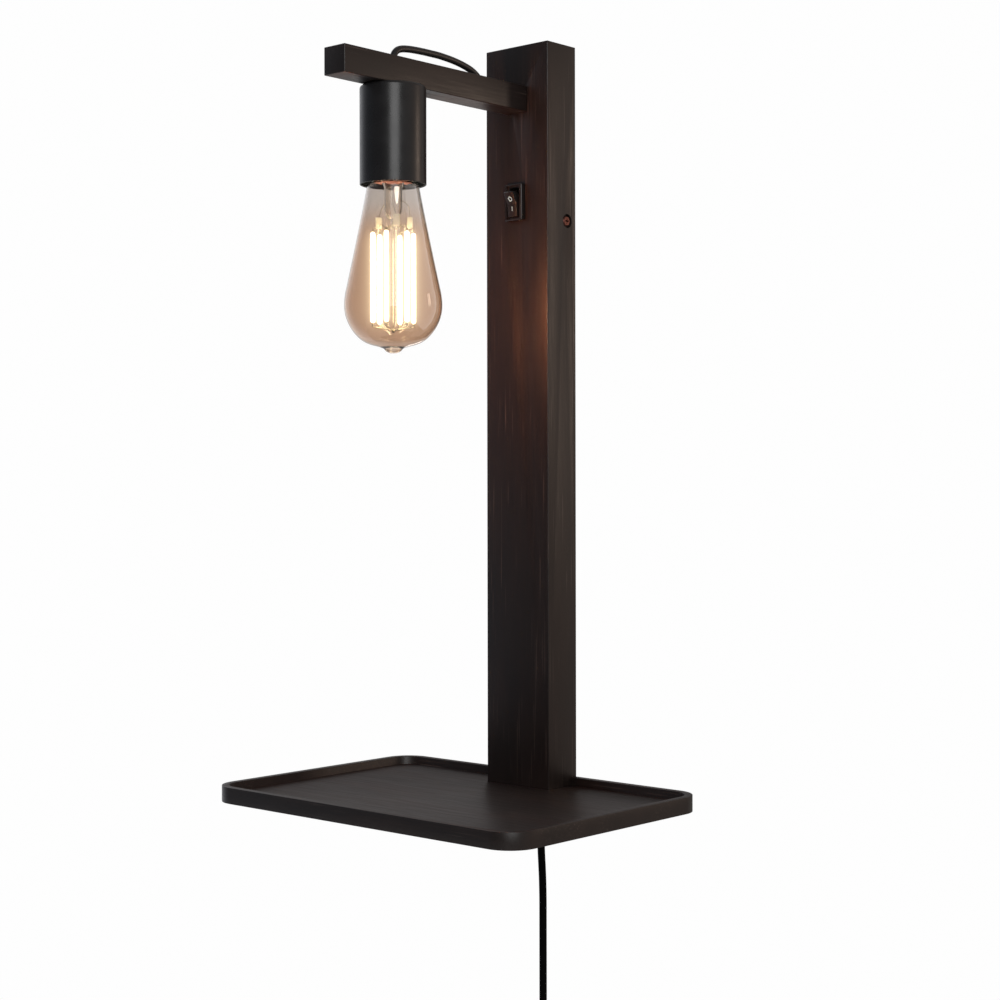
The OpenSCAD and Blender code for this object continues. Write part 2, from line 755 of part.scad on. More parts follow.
// Depths in the switch are taken from the bezel's face
pivot_in = 3.2;
pivot_y = bezel_face + pivot_in;
housing_deep = 17;
housing_wall = 1;
housing_back = bezel_face + housing_deep;
// The bezel's raised frame, at its sides and at its ends, and the recess inside it
frame_x = 2;
frame_z = 1.2;
recess_deep = 1.4;
body_w = cutout_w - 2 * fit_gap;
body_h = cutout_h - 2 * fit_gap;
well_w = rocker_w + 2 * seat_gap;
well_h = body_h - 2 * housing_wall;
pin_bite = 0.9;
bezel_edge = 0.5;
blade_pitch = 7;
blade_t = 0.8;
blade_w = 4.7;
slot_h = blade_t + 0.1;
stop_h = 1.2;

// The bezel and the body behind it, in one piece, with the stop for the see-saw
// contact's lower end
module switch_housing() {
    color([0.05, 0.05, 0.05]) {
        difference() {
            union() {
                broken_box([-bezel_w / 2, bezel_face, switch_z - bezel_h / 2],
                    [bezel_w / 2, -post_d, switch_z + bezel_h / 2], bezel_edge);
                block([-body_w / 2, -post_d - over, switch_z - body_h / 2],
                    [body_w / 2, housing_back, switch_z + body_h / 2]);
            }
            block([frame_x - bezel_w / 2, bezel_face - over, switch_z + frame_z - bezel_h / 2],
                [bezel_w / 2 - frame_x, bezel_face + recess_deep, switch_z - frame_z + bezel_h / 2]);
            block([-well_w / 2, bezel_face, switch_z - well_h / 2],
                [well_w / 2, housing_back - housing_wall, switch_z + well_h / 2]);
            rod_x([-well_w / 2 - pin_bite, pivot_y, switch_z], pivot_d, well_w + 2 * pin_bite);
            for (z = [0, blade_pitch])
                block([-blade_w / 2 - fit_gap, housing_back - 2 * housing_wall, switch_z + z - slot_h / 2],
                    [blade_w / 2 + fit_gap, housing_back + over, switch_z + z + slot_h / 2]);
        }
        block([-blade_w / 2, seesaw_end_y, switch_z - blade_pitch - stop_h / 2],
            [blade_w / 2, housing_back - housing_wall / 2, switch_z - blade_pitch + stop_h / 2]);
    }
}

rocker_half = 9;
rocker_end = 6.3;
rocker_valley = 4.5;
running_gap = 0.04;

// Turns its children from the rocker's middle position to its rest position,
// with the lower end pressed in
module rocker_at_rest() {
    translate([0, pivot_y, switch_z]) rotate([rocker_tilt, 0, 0]) children();
}

// The rocker's side outline, its pivot pins and the boss that guides the plunger.
// Outline points are first outward from the pivot, then upward.
module switch_rocker() {
    e = rocker_end;
    h = rocker_half;
    v = rocker_valley;
    boss = 5;
    boss_d = 4.6;
    color([0.04, 0.04, 0.04]) rocker_at_rest() difference() {
        union() {
            translate([-rocker_w / 2, 0, 0]) rotate([90, 0, 90]) linear_extrude(rocker_w) mirror([1, 0])
                polygon([[e - 0.7, h], [e, h - 0.6], [v + 0.2, 1.2], [v, 0], [v + 0.2, -1.2], [e, 0.6 - h],
                    [e - 0.7, -h], [2, 0.5 - h], [-1.6, -4], [-1.6, 4], [2, h - 0.5]]);
            rod_x([-rocker_w / 2 - pin_bite - fit_gap, 0, 0], pivot_d - 2 * running_gap,
                rocker_w + 2 * pin_bite + 2 * fit_gap);
            rod_y([0, 0, 0], boss_d, boss);
        }
        rod_y([0, spring_start, 0], plunger_d + 2 * running_gap, boss - spring_start + over);
    }
}

// The plunger and its spring lie in one bore, measured inward from the pivot
plunger_d = 2.6;
plunger_tip = 11;
spring_start = -1;
spring_len = 4.2;

module switch_plunger() {
    ball_y = plunger_tip - plunger_d / 2;
    color([0.9, 0.9, 0.88]) rocker_at_rest() {
        rod_y([0, spring_start + spring_len, 0], plunger_d, ball_y - spring_start - spring_len);
        translate([0, ball_y, 0]) sphere(d = plunger_d);
    }
}

module switch_spring() {
    wire = 0.5;
    color([0.75, 0.75, 0.78]) rocker_at_rest() difference() {
        rod_y([0, spring_start, 0], plunger_d - 2 * thread_gap, spring_len);
        rod_y([0, spring_start - over, 0], plunger_d - 2 * thread_gap - 2 * wire, spring_len + 2 * over);
    }
}

// The see-saw contact: a strip bent at its middle, where it rocks on the middle
// terminal. At rest it is tilted so that its upper end meets the upper terminal.
seesaw_in = 14.85;
seesaw_tilt = 6;
seesaw_bend = 12;
seesaw_half = 7.6;
seesaw_t = 0.5;
contact_gap = 0.1;
// Where a contact's or a stop's outer end lies, in front of the tilted strip's end
seesaw_end_y = bezel_face + seesaw_in + contact_gap
    - (blade_pitch - blade_t / 2) * tan(seesaw_bend - seesaw_tilt);

module switch_bridge() {
    w = 4;
    y = seesaw_half * sin(seesaw_bend);
    z = seesaw_half * cos(seesaw_bend);
    color([0.85, 0.7, 0.4]) translate([-w / 2, bezel_face + seesaw_in, switch_z])
        rotate([-seesaw_tilt, 0, 0]) rotate([90, 0, 90]) linear_extrude(w)
            polygon([[-y, z], [0, 0], [-y, -z], [-y - seesaw_t, -z], [-seesaw_t, 0], [-y - seesaw_t, z]]);
}

module switch_terminals() {
    blade_len = 8.8;
    seat_y = bezel_face + seesaw_in + contact_gap;
    color([0.85, 0.7, 0.4]) for (z = [0, blade_pitch])
        block([-blade_w / 2, z == 0 ? seat_y : seesaw_end_y, switch_z + z - blade_t / 2],
            [blade_w / 2, housing_back + blade_len, switch_z + z + blade_t / 2]);
}

// ---------------------------------------------------------------- wiring in the post

block_z = -75;
block_w = 16;
block_h = 17;
block_d = 12;
pole_x = 4;
pole_in = 6;
pole_d = 3.4;
pole_screw_d = 3;
pole_screws = [-5, 5];
clamp_z = -330;
clamp_x = 9;
clamp_h = 9;
small_screw_d = 3;
small_screw_bite = 6;

// A two-pole block with a wire hole and two screws through each pole
module terminal_block() {
    color([0.92, 0.92, 0.9]) difference() {
        block([-block_w / 2, hollow_face, block_z - block_h / 2],
            [block_w / 2, hollow_face + block_d, block_z + block_h / 2]);
        for (s = [-1, 1]) {
            rod_z([s * pole_x, hollow_face + pole_in, block_z - block_h], pole_d, 2 * block_h);
            for (z = pole_screws)
                rod_y([s * pole_x, hollow_face + pole_in, block_z + z], pole_screw_d + 2 * fit_gap, block_d);
        }
        rod_y([0, hollow_face - over, block_z], small_screw_d + 2 * fit_gap, block_d + 2 * over);
    }
}

// A pan-head screw from seat p into the front wall
module pan_screw(p, len) {
    head_d = 2 * small_screw_d - 0.4;
    head_h = 1.8;
    translate(p) rotate([90, 0, 0]) difference() {
        union() {
            cylinder(d = small_screw_d - 2 * thread_gap, h = len);
            translate([0, 0, -head_h]) cylinder(d = head_d, h = head_h);
        }
        translate([0, 0, -head_h]) cross_recess(size = 2.2, deep = 0.9);
    }
}

module block_screws() {
    sunk = 0.6;
    tip_y = hollow_face + pole_in + core_d / 2 + thread_gap;
    color([0.75, 0.72, 0.6]) {
        pan_screw([0, hollow_face + block_d, block_z], block_d + small_screw_bite);
        for (s = [-1, 1], z = pole_screws)
            rod_y([s * pole_x, tip_y, block_z + z], pole_screw_d, hollow_face + block_d - sunk - tip_y);
    }
}

clamp_w = cord_d + 2 * fit_gap;
clamp_y = hollow_face + cord_d / 2 + thread_gap;
clamp_foot = 3;

// A saddle that presses the cord on to the post's front wall
module cord_clamp() {
    wall = 2;
    foot_x = -4;
    x0 = clamp_x - clamp_w / 2;
    x1 = clamp_x + clamp_w / 2;
    color([0.9, 0.9, 0.88]) difference() {
        union() {
            block([x0 - wall, hollow_face, clamp_z - clamp_h / 2],
                [x1 + wall, clamp_y + clamp_w / 2 + wall, clamp_z + clamp_h / 2]);
            block([foot_x, hollow_face, clamp_z - clamp_h / 2],
                [x0, hollow_face + clamp_foot, clamp_z + clamp_h / 2]);
        }
        rod_z([clamp_x, clamp_y, clamp_z - clamp_h], clamp_w, 2 * clamp_h);
        block([x0, hollow_face - over, clamp_z - clamp_h], [x1, clamp_y, clamp_z + clamp_h]);
        rod_y([0, hollow_face - over, clamp_z], small_screw_d + 2 * fit_gap, clamp_foot + 2 * over);
    }
}

module clamp_screws() {
    color([0.75, 0.72, 0.6]) pan_screw([0, hollow_face + clamp_foot, clamp_z], clamp_foot + small_screw_bite);
}

// The lamp cable: up out of the lampholder, over the arm in a low loop, down into
// the arm's slanted hole, along its bore and down the hollow back
cable_path = [[0, -153, 62], [0, -153, 72], [0, -153, 84], [0, -153, 92], [0, -152.6, 95.4],
    [0, -151, 98.6], [0, -148, 100.8], [0, -144, 102], [0, -138, 102.8], [0, -131, 103.2],
    [0, -124, 103.4], [0, -117, 103.4], [0, -110, 103.4], [0, -103, 103], [0, -96, 102.4],
    [0, -89, 101.4], [0, -83, 100.2], [0, -78, 98.8], [0, -74, 97], [0, -70.5, 94.7], [0, -66, 91.2],
    [0, -61.5, 87.6], [0, -57.5, 85.6], [0, -52, 85], [0, -42, 85], [0, -31, 85], [0, -24, 85],
    [0.2, -19, 84.8], [1.2, -15.8, 82.6], [2.6, -14.2, 78], [4.2, -13.3, 72], [6, -13, 66],
    [8.4, -13, 58], [10.6, -13, 50], [12, -13, 42], [12.4, -13, 34], [12.4, -13, 20], [12.4, -13, 5],
    [12.4, -13, -8], [11.4, -13, -18], [9.4, -13, -27], [7.4, -13, -35], [6.4, -13, -40], [6.4, -13, -45]];

module lamp_cable() {
    color([0.04, 0.04, 0.04]) tube(cable_path, cable_d, 12, [1, 0, 0]);
}

// The cord inside the post, from the strain relief's end up to the terminal block
inner_path = [[0, -5.4, -426], [0, -5.4, -414], [0, -5.4, -402], [0, -5.4, -390], [0.6, -5.8, -378],
    [2.4, -8, -366], [5.2, -12.4, -354], [8, -16, -344], [9, -17.2, -336], [9, -17.2, -324],
    [8.4, -16.8, -314], [6.6, -15.4, -300], [4, -14.4, -284], [2, -14, -266], [0.8, -14, -246],
    [0, -14, -220], [0, -14, -190], [0, -14, -160], [0, -14, -130], [0, -14, -112]];

module inner_cord() {
    color([0.03, 0.03, 0.03]) tube(inner_path, cord_d, 10, [1, 0, 0]);
}

// The insulated cores: from the cord to the block, from the block to the lamp
// cable and the switch, from the cable to the switch, and from the cable to the
// lampholder's terminals
core_paths = [
    [[-1.2, -14, -111.8], [-1.3, -14, -106], [-2.4, -14, -99], [-3.6, -14, -93], [-4, -14, -87],
        [-4, -14, -78]],
    [[1.2, -14, -111.8], [1.3, -14, -106], [2.4, -14, -99], [3.6, -14, -93], [4, -14, -87], [4, -14, -78]],
    [[5.3, -13, -45.2], [5.2, -13, -49], [4.6, -13.6, -55], [4, -14, -61], [4, -14, -72]],
    [[-4, -14, -72], [-4, -14, -62], [-5.2, -12.6, -52], [-7.4, -9.2, -40], [-8.6, -6.2, -26],
        [-8.6, -5, -10], [-7.4, -4.8, 3], [-4.6, -4.6, 9.8], [-1.8, -5, 12.8], [-1, -6.6, 13.2],
        [-1, -8.4, 13.2]],
    [[7.5, -13, -45.2], [7.6, -12.9, -48], [7.8, -10.8, -51.4], [7.6, -7.8, -51], [7.4, -6, -46],
        [7.4, -5.4, -36], [7.6, -5.2, -18], [7.6, -5, -2], [6.8, -4.8, 10], [4.4, -4.8, 17.4],
        [2, -5.2, 20], [1, -6.6, 20.2], [1, -8.4, 20.2]],
    [[1.1, -153, 61.8], [1.2, -153, 60], [4, -153, 58], [8, -153, 57.2], [10.6, -153, 55.6], [11, -153, 53.4],
        [11, -153, 49]],
    [[-1.1, -153, 61.8], [-1.2, -153, 60], [-4, -153, 58], [-8, -153, 57.2], [-10.6, -153, 55.6],
        [-11, -153, 53.4], [-11, -153, 49]]];

// Each core's rings are set against an axis that its path never follows
core_refs = [[0, 1, 0], [0, 1, 0], [1, 0, 0], [1, 0, 0], [1, 0, 0], [0, 1, 0], [0, 1, 0]];

module cores() {
    color([0.35, 0.2, 0.12]) for (i = [0:len(core_paths) - 1]) tube(core_paths[i], core_d, 6, core_refs[i]);
}

// ---------------------------------------------------------------- cord, hank and plug

// A sleeve that grips the shelf's floor in a groove and tapers down round the cord
module strain_relief() {
    lip = 1;
    lip_d = relief_d + 1.6;
    bottom = tray_bottom - relief_len;
    color([0.04, 0.04, 0.04]) translate([0, -exit_y, 0]) difference() {
        union() {
            rod_z([0, 0, foot_z], lip_d, lip);
            rod_z([0, 0, tray_bottom - lip], relief_d - 2 * fit_gap, foot_z - tray_bottom + 2 * lip);
            rod_z([0, 0, tray_bottom - lip], lip_d, lip);
            translate([0, 0, bottom]) cylinder(d1 = cord_d + 1.2, d2 = relief_d - 0.4, h = relief_len);
        }
        rod_z([0, 0, bottom - over], cord_d + 0.04, relief_len + tray_floor + 4 * over);
    }
}

// The free stretch, from the strain relief down the wall to where the hank begins
drop_path = [[0, -5.4, -426], [0, -5.4, -432], [0, -5.2, -440], [0, -4.8, -448], [0, -4.2, -456],
    [0, -3.7, -464], [0, -3.4, -472], [0, -3.2, -482], [0, -3.2, -494], [0, -3.2, -506], [0, -3.2, -518],
    [0, -3.2, -530], [0, -3.2, -542], [0, -3.2, -555]];

module cord_drop() {
    color([0.03, 0.03, 0.03]) tube(drop_path, cord_d, 10, [1, 0, 0]);
}

// The hank hangs in the plane of the wall. Its loops spiral in through the back
// layer and out again through the front one, and the cord climbs between the
// layers along one run.
loop_rings = 24;
quarter = 1 / 4;
layer_turns = hank_turns / 2;
outer_fold = hank_fold + hank_step * layer_turns;
half_run = hank_run / 2;
back_y = drop_path[len(drop_path) - 1][1] - 1;
front_y = back_y - hank_layer;

// Smooth step from 0 to 1
function smooth(t) = let (c = min(max(t, 0), 1)) c * c * (3 - 2 * c);
// The loops' radius and layer after t turns from the top of the first right run
function hank_r(t) = outer_fold - hank_step * min(t, hank_turns + quarter - t);
function hank_y(t) = back_y + (front_y - back_y) * smooth((t - layer_turns) / quarter);
// How far the tie draws a run in at height z from the hank's middle
function waist(z) = hank_waist * (1 + cos(360 * z / hank_run)) / 2;

// The place after t turns. A turn is a right run down, the lower fold, a left run
// up and the upper fold, each a quarter of it.
function hank_point(t) =
    let (q = 4 * (t - floor(t)), side = floor(q), s = q - side, r = hank_r(t), y = hank_y(t),
        z = half_run - s * hank_run)
    side == 0 ? [r - waist(z), y, z]
    : side == 1 ? [r * cos(180 * s), y, -half_run - r * sin(180 * s)]
    : side == 2 ? [waist(z) - r, y, -z]
    : [-r * cos(180 * s), y, half_run + r * sin(180 * s)];

// The cord leads in from above to meet the outermost fold at join_angle from its top
lead_r = 24;
join_angle = 40;
join_dir = [cos(join_angle), 0, -sin(join_angle)];
lead_line = (outer_fold * sin(join_angle) - lead_r * (1 - sin(join_angle))) / cos(join_angle);
lead_start = drop_path[len(drop_path) - 1] - [0, 0, cord_d];
lead_in = [for (a = [0:10:90 - join_angle]) lead_start + lead_r * [1 - cos(a), 0, -sin(a)]];
lead_end = lead_in[len(lead_in) - 1];
hank_middle = [0, 0, lead_end[2] - lead_line * sin(join_angle) - outer_fold * cos(join_angle) - half_run];
lead_steps = [for (k = [1:2]) lead_end + k / 3 * (lead_line * join_dir + [0, back_y - lead_end[1], 0])];
first_fold = [for (a = [join_angle:12.5:89]) hank_middle
    + [outer_fold * sin(a), back_y, half_run + outer_fold * cos(a)]];
turns = [for (k = [0:loop_rings * (hank_turns - quarter)]) hank_middle + hank_point(k / loop_rings)];

// It leaves the last fold at tail_angle past the top, and turns down to the plug
tail_r = 24;
tail_angle = 10;
plug_x = 57;
// The angle from a fold's top at which it starts
fold_start = -90;
function last_r(a) = hank_r(hank_turns - quarter + quarter * (a - fold_start) / 180);
function on_last_fold(a) = hank_middle + [last_r(a) * sin(a), front_y, half_run + last_r(a) * cos(a)];
last_fold = [for (a = [-75:15:0]) on_last_fold(a)];
tail_start = on_last_fold(tail_angle);
tail_line = (plug_x - tail_start[0] - tail_r * (1 - sin(tail_angle))) / cos(tail_angle);
tail_turn = tail_start + tail_line * [cos(tail_angle), 0, -sin(tail_angle)];
tail = [for (a = [tail_angle:16:90]) tail_turn
    + tail_r * [sin(a) - sin(tail_angle), 0, cos(a) - cos(tail_angle)]];
plug_top = tail[len(tail) - 1] - [0, 0, cord_d];

hank_path = concat([lead_start + [0, 0, cord_d]], lead_in, lead_steps, first_fold, turns, last_fold,
    [tail_start, (tail_start + tail_turn) / 2], tail, [plug_top]);

module cord_hank() {
    echo(least_gap_of_the_hank_to_itself = least_gap(hank_path, 6) - cord_d);
    echo(length_of_the_cord = path_length(drop_path) + path_length(hank_path));
    color([0.03, 0.03, 0.03]) tube(hank_path, cord_d, 6, [0, 1, 0]);
}

// A strap round the hank's waist
module hank_tie() {
    tie_h = 12;
    tie_t = 0.9;
    ring_step = hank_run * 4 / loop_rings;
    ease = seat_gap + (hank_waist - waist(ring_step)) * tie_h / 2 / ring_step + cord_d / 2;
    right = hank_r(quarter / 2) - hank_waist + ease;
    left = hank_r(2.5 * quarter) - hank_waist + ease;
    depth = hank_layer + cord_d + 2 * seat_gap;
    middle = [(right - left) / 2, (back_y + front_y) / 2, hank_middle[2] - tie_h / 2];
    color([0.06, 0.06, 0.06]) translate(middle)
        linear_extrude(tie_h) difference() {
            round_rect(left + right + 2 * tie_t, depth + 2 * tie_t, cord_d / 2 + seat_gap + tie_t);
            round_rect(left + right, depth, cord_d / 2 + seat_gap);
        }
}

// ---------------------------------------------------------------- plug

pin_pitch = 18.6;
plug_neck = 18;
body_top = plug_top[2] - plug_neck;
pin_root = 10;

// A flat two-pin plug: a body that widens from the cord to a round-cornered face
module plug_body() {
    shoulder = 8;
    w = plug_w / 2;
    color([0.03, 0.03, 0.03]) translate([plug_x, front_y, body_top]) difference() {
        union() {
            translate([0, 0, -over]) cylinder(d1 = cord_d + 5, d2 = cord_d + 1.2, h = plug_neck + over);
            intersection() {
                translate([0, 0, -plug_len]) linear_extrude(plug_len)
                    round_rect(plug_w, plug_t, plug_t * 0.45);
                translate([0, plug_t / 2, 0]) rotate([90, 0, 0]) linear_extrude(plug_t)
                    polygon([[-w, -plug_len], [w, -plug_len], [w, 4 - plug_len], [w - 2.5, -shoulder - 6],
                        [w - 6, -shoulder], [shoulder, 0], [-shoulder, 0], [6 - w, -shoulder],
                        [2.5 - w, -shoulder - 6], [-w, 4 - plug_len]]);
            }
        }
        for (s = [-1, 1]) rod_z([s * pin_pitch / 2, 0, -plug_len - over], pin_d, pin_root + over);
    }
}

module plug_pins() {
    tip = 1;
    color([0.8, 0.8, 0.82]) for (s = [-1, 1])
        translate([plug_x + s * pin_pitch / 2, front_y, body_top - plug_len]) {
            rod_z([0, 0, tip - pin_len], pin_d, pin_len + pin_root - tip);
            translate([0, 0, -pin_len]) cylinder(d1 = pin_d - 2 * tip, d2 = pin_d, h = tip);
        }
}

post();
tray();
tray_screws();
arm();
arm_screws();
wall_bracket();
side_screws();
lamp_cup();
nipple();
nipple_nut();
cable_bush();
holder_cap();
holder_insulator();
holder_body();
screw_shell();
centre_contact();
holder_terminals();
bulb_cap();
bulb_insulator();
bulb_contact();
bulb_driver();
bulb_glass();
bulb_stem();
bulb_filaments();
bulb_wires();
switch_housing();
switch_rocker();
switch_plunger();
switch_spring();
switch_bridge();
switch_terminals();
terminal_block();
block_screws();
cord_clamp();
clamp_screws();
lamp_cable();
cores();
inner_cord();
strain_relief();
cord_drop();
cord_hank();
hank_tie();
plug_body();
plug_pins();
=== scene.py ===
"""Looks of the plug-in wall lamp with a shelf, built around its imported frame.

Lengths are in millimetres and become metres where a mesh, curve or light is made.
X runs along the wall, -Y points away from the wall and +Z is up.
"""

import math

import bmesh
import bpy
from mathutils import Matrix, Vector


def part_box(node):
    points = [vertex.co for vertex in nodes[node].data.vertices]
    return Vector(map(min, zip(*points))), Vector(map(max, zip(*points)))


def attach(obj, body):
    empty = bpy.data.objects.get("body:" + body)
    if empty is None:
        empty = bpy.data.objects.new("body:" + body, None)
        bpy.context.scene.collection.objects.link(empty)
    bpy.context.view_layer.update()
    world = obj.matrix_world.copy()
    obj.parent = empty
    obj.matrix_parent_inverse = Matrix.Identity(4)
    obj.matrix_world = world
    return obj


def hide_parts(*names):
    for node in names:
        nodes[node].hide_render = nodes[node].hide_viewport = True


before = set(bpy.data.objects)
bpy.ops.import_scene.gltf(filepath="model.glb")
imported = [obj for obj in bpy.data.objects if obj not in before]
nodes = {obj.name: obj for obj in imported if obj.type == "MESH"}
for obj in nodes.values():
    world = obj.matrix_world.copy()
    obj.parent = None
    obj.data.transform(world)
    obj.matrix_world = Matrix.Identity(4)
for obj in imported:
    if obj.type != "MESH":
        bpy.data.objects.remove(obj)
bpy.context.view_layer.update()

MM = 0.001
ROOT = "lamp_frame"
scene = bpy.context.scene


# ------------------------------------------------------------------ camera

CAMERA_PLACE = (867.46, -1022.71, -180.53)
CAMERA_YAW = 41.683
CAMERA_ROLL = -0.097
FRAME_PX = 1000
FOCAL_PX = 1877.70
AXIS_ROW_PX = 478.985
SENSOR = 36.0


def turn(degrees, axis):
    return Matrix.Rotation(math.radians(degrees), 4, axis)


def add_camera():
    data = bpy.data.cameras.new("camera")
    data.sensor_width = SENSOR
    data.lens = SENSOR * FOCAL_PX / FRAME_PX
    data.shift_y = AXIS_ROW_PX / FRAME_PX - 0.5
    camera = bpy.data.objects.new("camera", data)
    place = Matrix.Translation(Vector(CAMERA_PLACE) * MM)
    camera.matrix_world = place @ turn(CAMERA_YAW, "Z") @ turn(90, "X") @ turn(CAMERA_ROLL, "Z")
    scene.collection.objects.link(camera)
    scene.camera = camera


add_camera()


# ------------------------------------------------------------------ making pieces

# A radius below this one counts as a point on the axis
ON_AXIS = 1e-6
# Vertices closer than this are joined, and faces that meet flatter than this many degrees
WELD = 0.002
FLAT_ANGLE = 0.5
# How far the first ring of a pill's rounded end lies from its pole, in steps
BLUNT = 0.4


def link(obj, finish, body=ROOT, replaced=()):
    """Puts a new piece in the scene, on its body, with its material."""
    scene.collection.objects.link(obj)
    obj.data.materials.append(finish.material)
    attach(obj, body)
    if replaced:
        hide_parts(*replaced)


def mesh_object(name, bm, sharp_angle=35):
    """A mesh object from a bmesh, smooth except along edges sharper than the angle."""
    bmesh.ops.recalc_face_normals(bm, faces=bm.faces)
    mesh = bpy.data.meshes.new(name)
    bm.to_mesh(mesh)
    bm.free()
    mesh.shade_smooth()
    mesh.set_sharp_from_angle(angle=math.radians(sharp_angle))
    return bpy.data.objects.new(name, mesh)


def smooth_route(points, steps=4):
    """A Catmull-Rom curve through the points, with so many steps from one to the next."""
    ends = [2 * Vector(points[0]) - Vector(points[1]), 2 * Vector(points[-1]) - Vector(points[-2])]
    p = [ends[0]] + [Vector(q) for q in points] + [ends[1]]
    route = []
    for i in range(1, len(p) - 2):
        for k in range(steps):
            t = k / steps
            route.append(0.5 * (2 * p[i] + (p[i + 1] - p[i - 1]) * t
                + (2 * p[i - 1] - 5 * p[i] + 4 * p[i + 1] - p[i + 2]) * t ** 2
                + (3 * p[i] - p[i - 1] - 3 * p[i + 1] + p[i + 2]) * t ** 3))
    return route + [Vector(points[-1])]


def round_curve(name, routes, diameter):
    """Round tubes along routes, as one curve object with a spline for each."""
    data = bpy.data.curves.new(name, "CURVE")
    data.dimensions = "3D"
    data.bevel_depth = diameter / 2 * MM
    data.bevel_resolution = 5
    data.use_fill_caps = True
    for route in routes:
        spline = data.splines.new("POLY")
        spline.points.add(len(route) - 1)
        spline.use_smooth = True
        for point, place in zip(spline.points, route):
            point.co = (*(Vector(place) * MM), 1)
    return bpy.data.objects.new(name, data)


def round_angles(count):
    """So many angles, evenly spread over a whole turn."""
    return [2 * math.pi * k / count for k in range(count)]


def ring_of(bm, radius, z, centre, segments):
    """One ring of vertices of a turned shape, or its one vertex on the axis."""
    if radius < ON_AXIS:
        return [bm.verts.new(Vector((centre[0], centre[1], z)) * MM)]
    ring = [(centre[0] + radius * math.cos(a), centre[1] + radius * math.sin(a), z)
        for a in round_angles(segments)]
    return [bm.verts.new(Vector(place) * MM) for place in ring]


def add_lathe(bm, profile, centre=(0, 0), segments=96, closed=True):
    """Turns an outline of (radius, height) points about an upright axis."""
    rings = [ring_of(bm, r, z, centre, segments) for r, z in profile]
    pairs = list(zip(rings, rings[1:]))
    if closed:
        pairs.append((rings[-1], rings[0]))
    for low, high in pairs:
        for k in range(segments):
            quad = [low[k % len(low)], low[(k + 1) % len(low)],
                high[(k + 1) % len(high)], high[k % len(high)]]
            face = [v for i, v in enumerate(quad) if v not in quad[:i]]
            if len(face) > 2:
                bm.faces.new(face)


def add_tube(bm, route, sizes, sides=12, across=(1, 0, 0)):
    """A closed tube along a route, with a half width and a half thickness at each point."""
    route = [Vector(p) for p in route]
    rings = []
    for i, (wide, thick) in enumerate(sizes):
        ahead = (route[min(i + 1, len(route) - 1)] - route[max(i - 1, 0)]).normalized()
        side = (Vector(across) - Vector(across).dot(ahead) * ahead).normalized()
        up = ahead.cross(side)
        ring = [route[i] + wide * math.cos(a) * side + thick * math.sin(a) * up
            for a in round_angles(sides)]
        rings.append([bm.verts.new(place * MM) for place in ring])
    for low, high in zip(rings, rings[1:]):
        for k in range(sides):
            bm.faces.new((low[k], low[(k + 1) % sides], high[(k + 1) % sides], high[k]))
    bm.faces.new(rings[0][::-1])
    bm.faces.new(rings[-1])


def add_pill(bm, start, end, wide, thick, across=(1, 0, 0), steps=4):
    """A straight rod or strip with rounded ends."""
    start, end = Vector(start), Vector(end)
    ahead = (end - start).normalized() * min(wide, thick)
    turns = [math.pi / 2 * (k + BLUNT) / (steps + BLUNT) for k in range(steps + 1)]
    sizes = [(wide * math.sin(a), thick * math.sin(a)) for a in turns + turns[::-1]]
    route = [start + ahead * (1 - math.cos(a)) for a in turns]
    route += [end - ahead * (1 - math.cos(a)) for a in reversed(turns)]
    add_tube(bm, route, sizes, across=across)


def arc(centre, radius, start, end, steps):
    """Points of an arc in the plane of an outline, in degrees from its first axis."""
    angles = [math.radians(start + (end - start) * k / steps) for k in range(steps + 1)]
    return [(centre[0] + radius * math.cos(a), centre[1] + radius * math.sin(a)) for a in angles]


def softened(node, width, segments=2, least_angle=25):
    """A copy of a node's mesh whose edges are rounded off."""
    bm = bmesh.new()
    bm.from_mesh(nodes[node].data)
    bmesh.ops.remove_doubles(bm, verts=bm.verts, dist=WELD * MM)
    bmesh.ops.dissolve_limit(bm, angle_limit=math.radians(FLAT_ANGLE), verts=bm.verts,
        edges=bm.edges)
    least = math.radians(least_angle)
    sharp = [e for e in bm.edges if e.is_manifold and e.calc_face_angle() > least]
    bmesh.ops.bevel(bm, geom=sharp, offset=width * MM, segments=segments, profile=0.5,
        affect="EDGES", clamp_overlap=True)
    return bm


def dress(finish, *names):
    """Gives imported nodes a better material."""
    for name in names:
        for slot in nodes[name].material_slots:
            slot.material = finish.material


# ------------------------------------------------------------------ materials


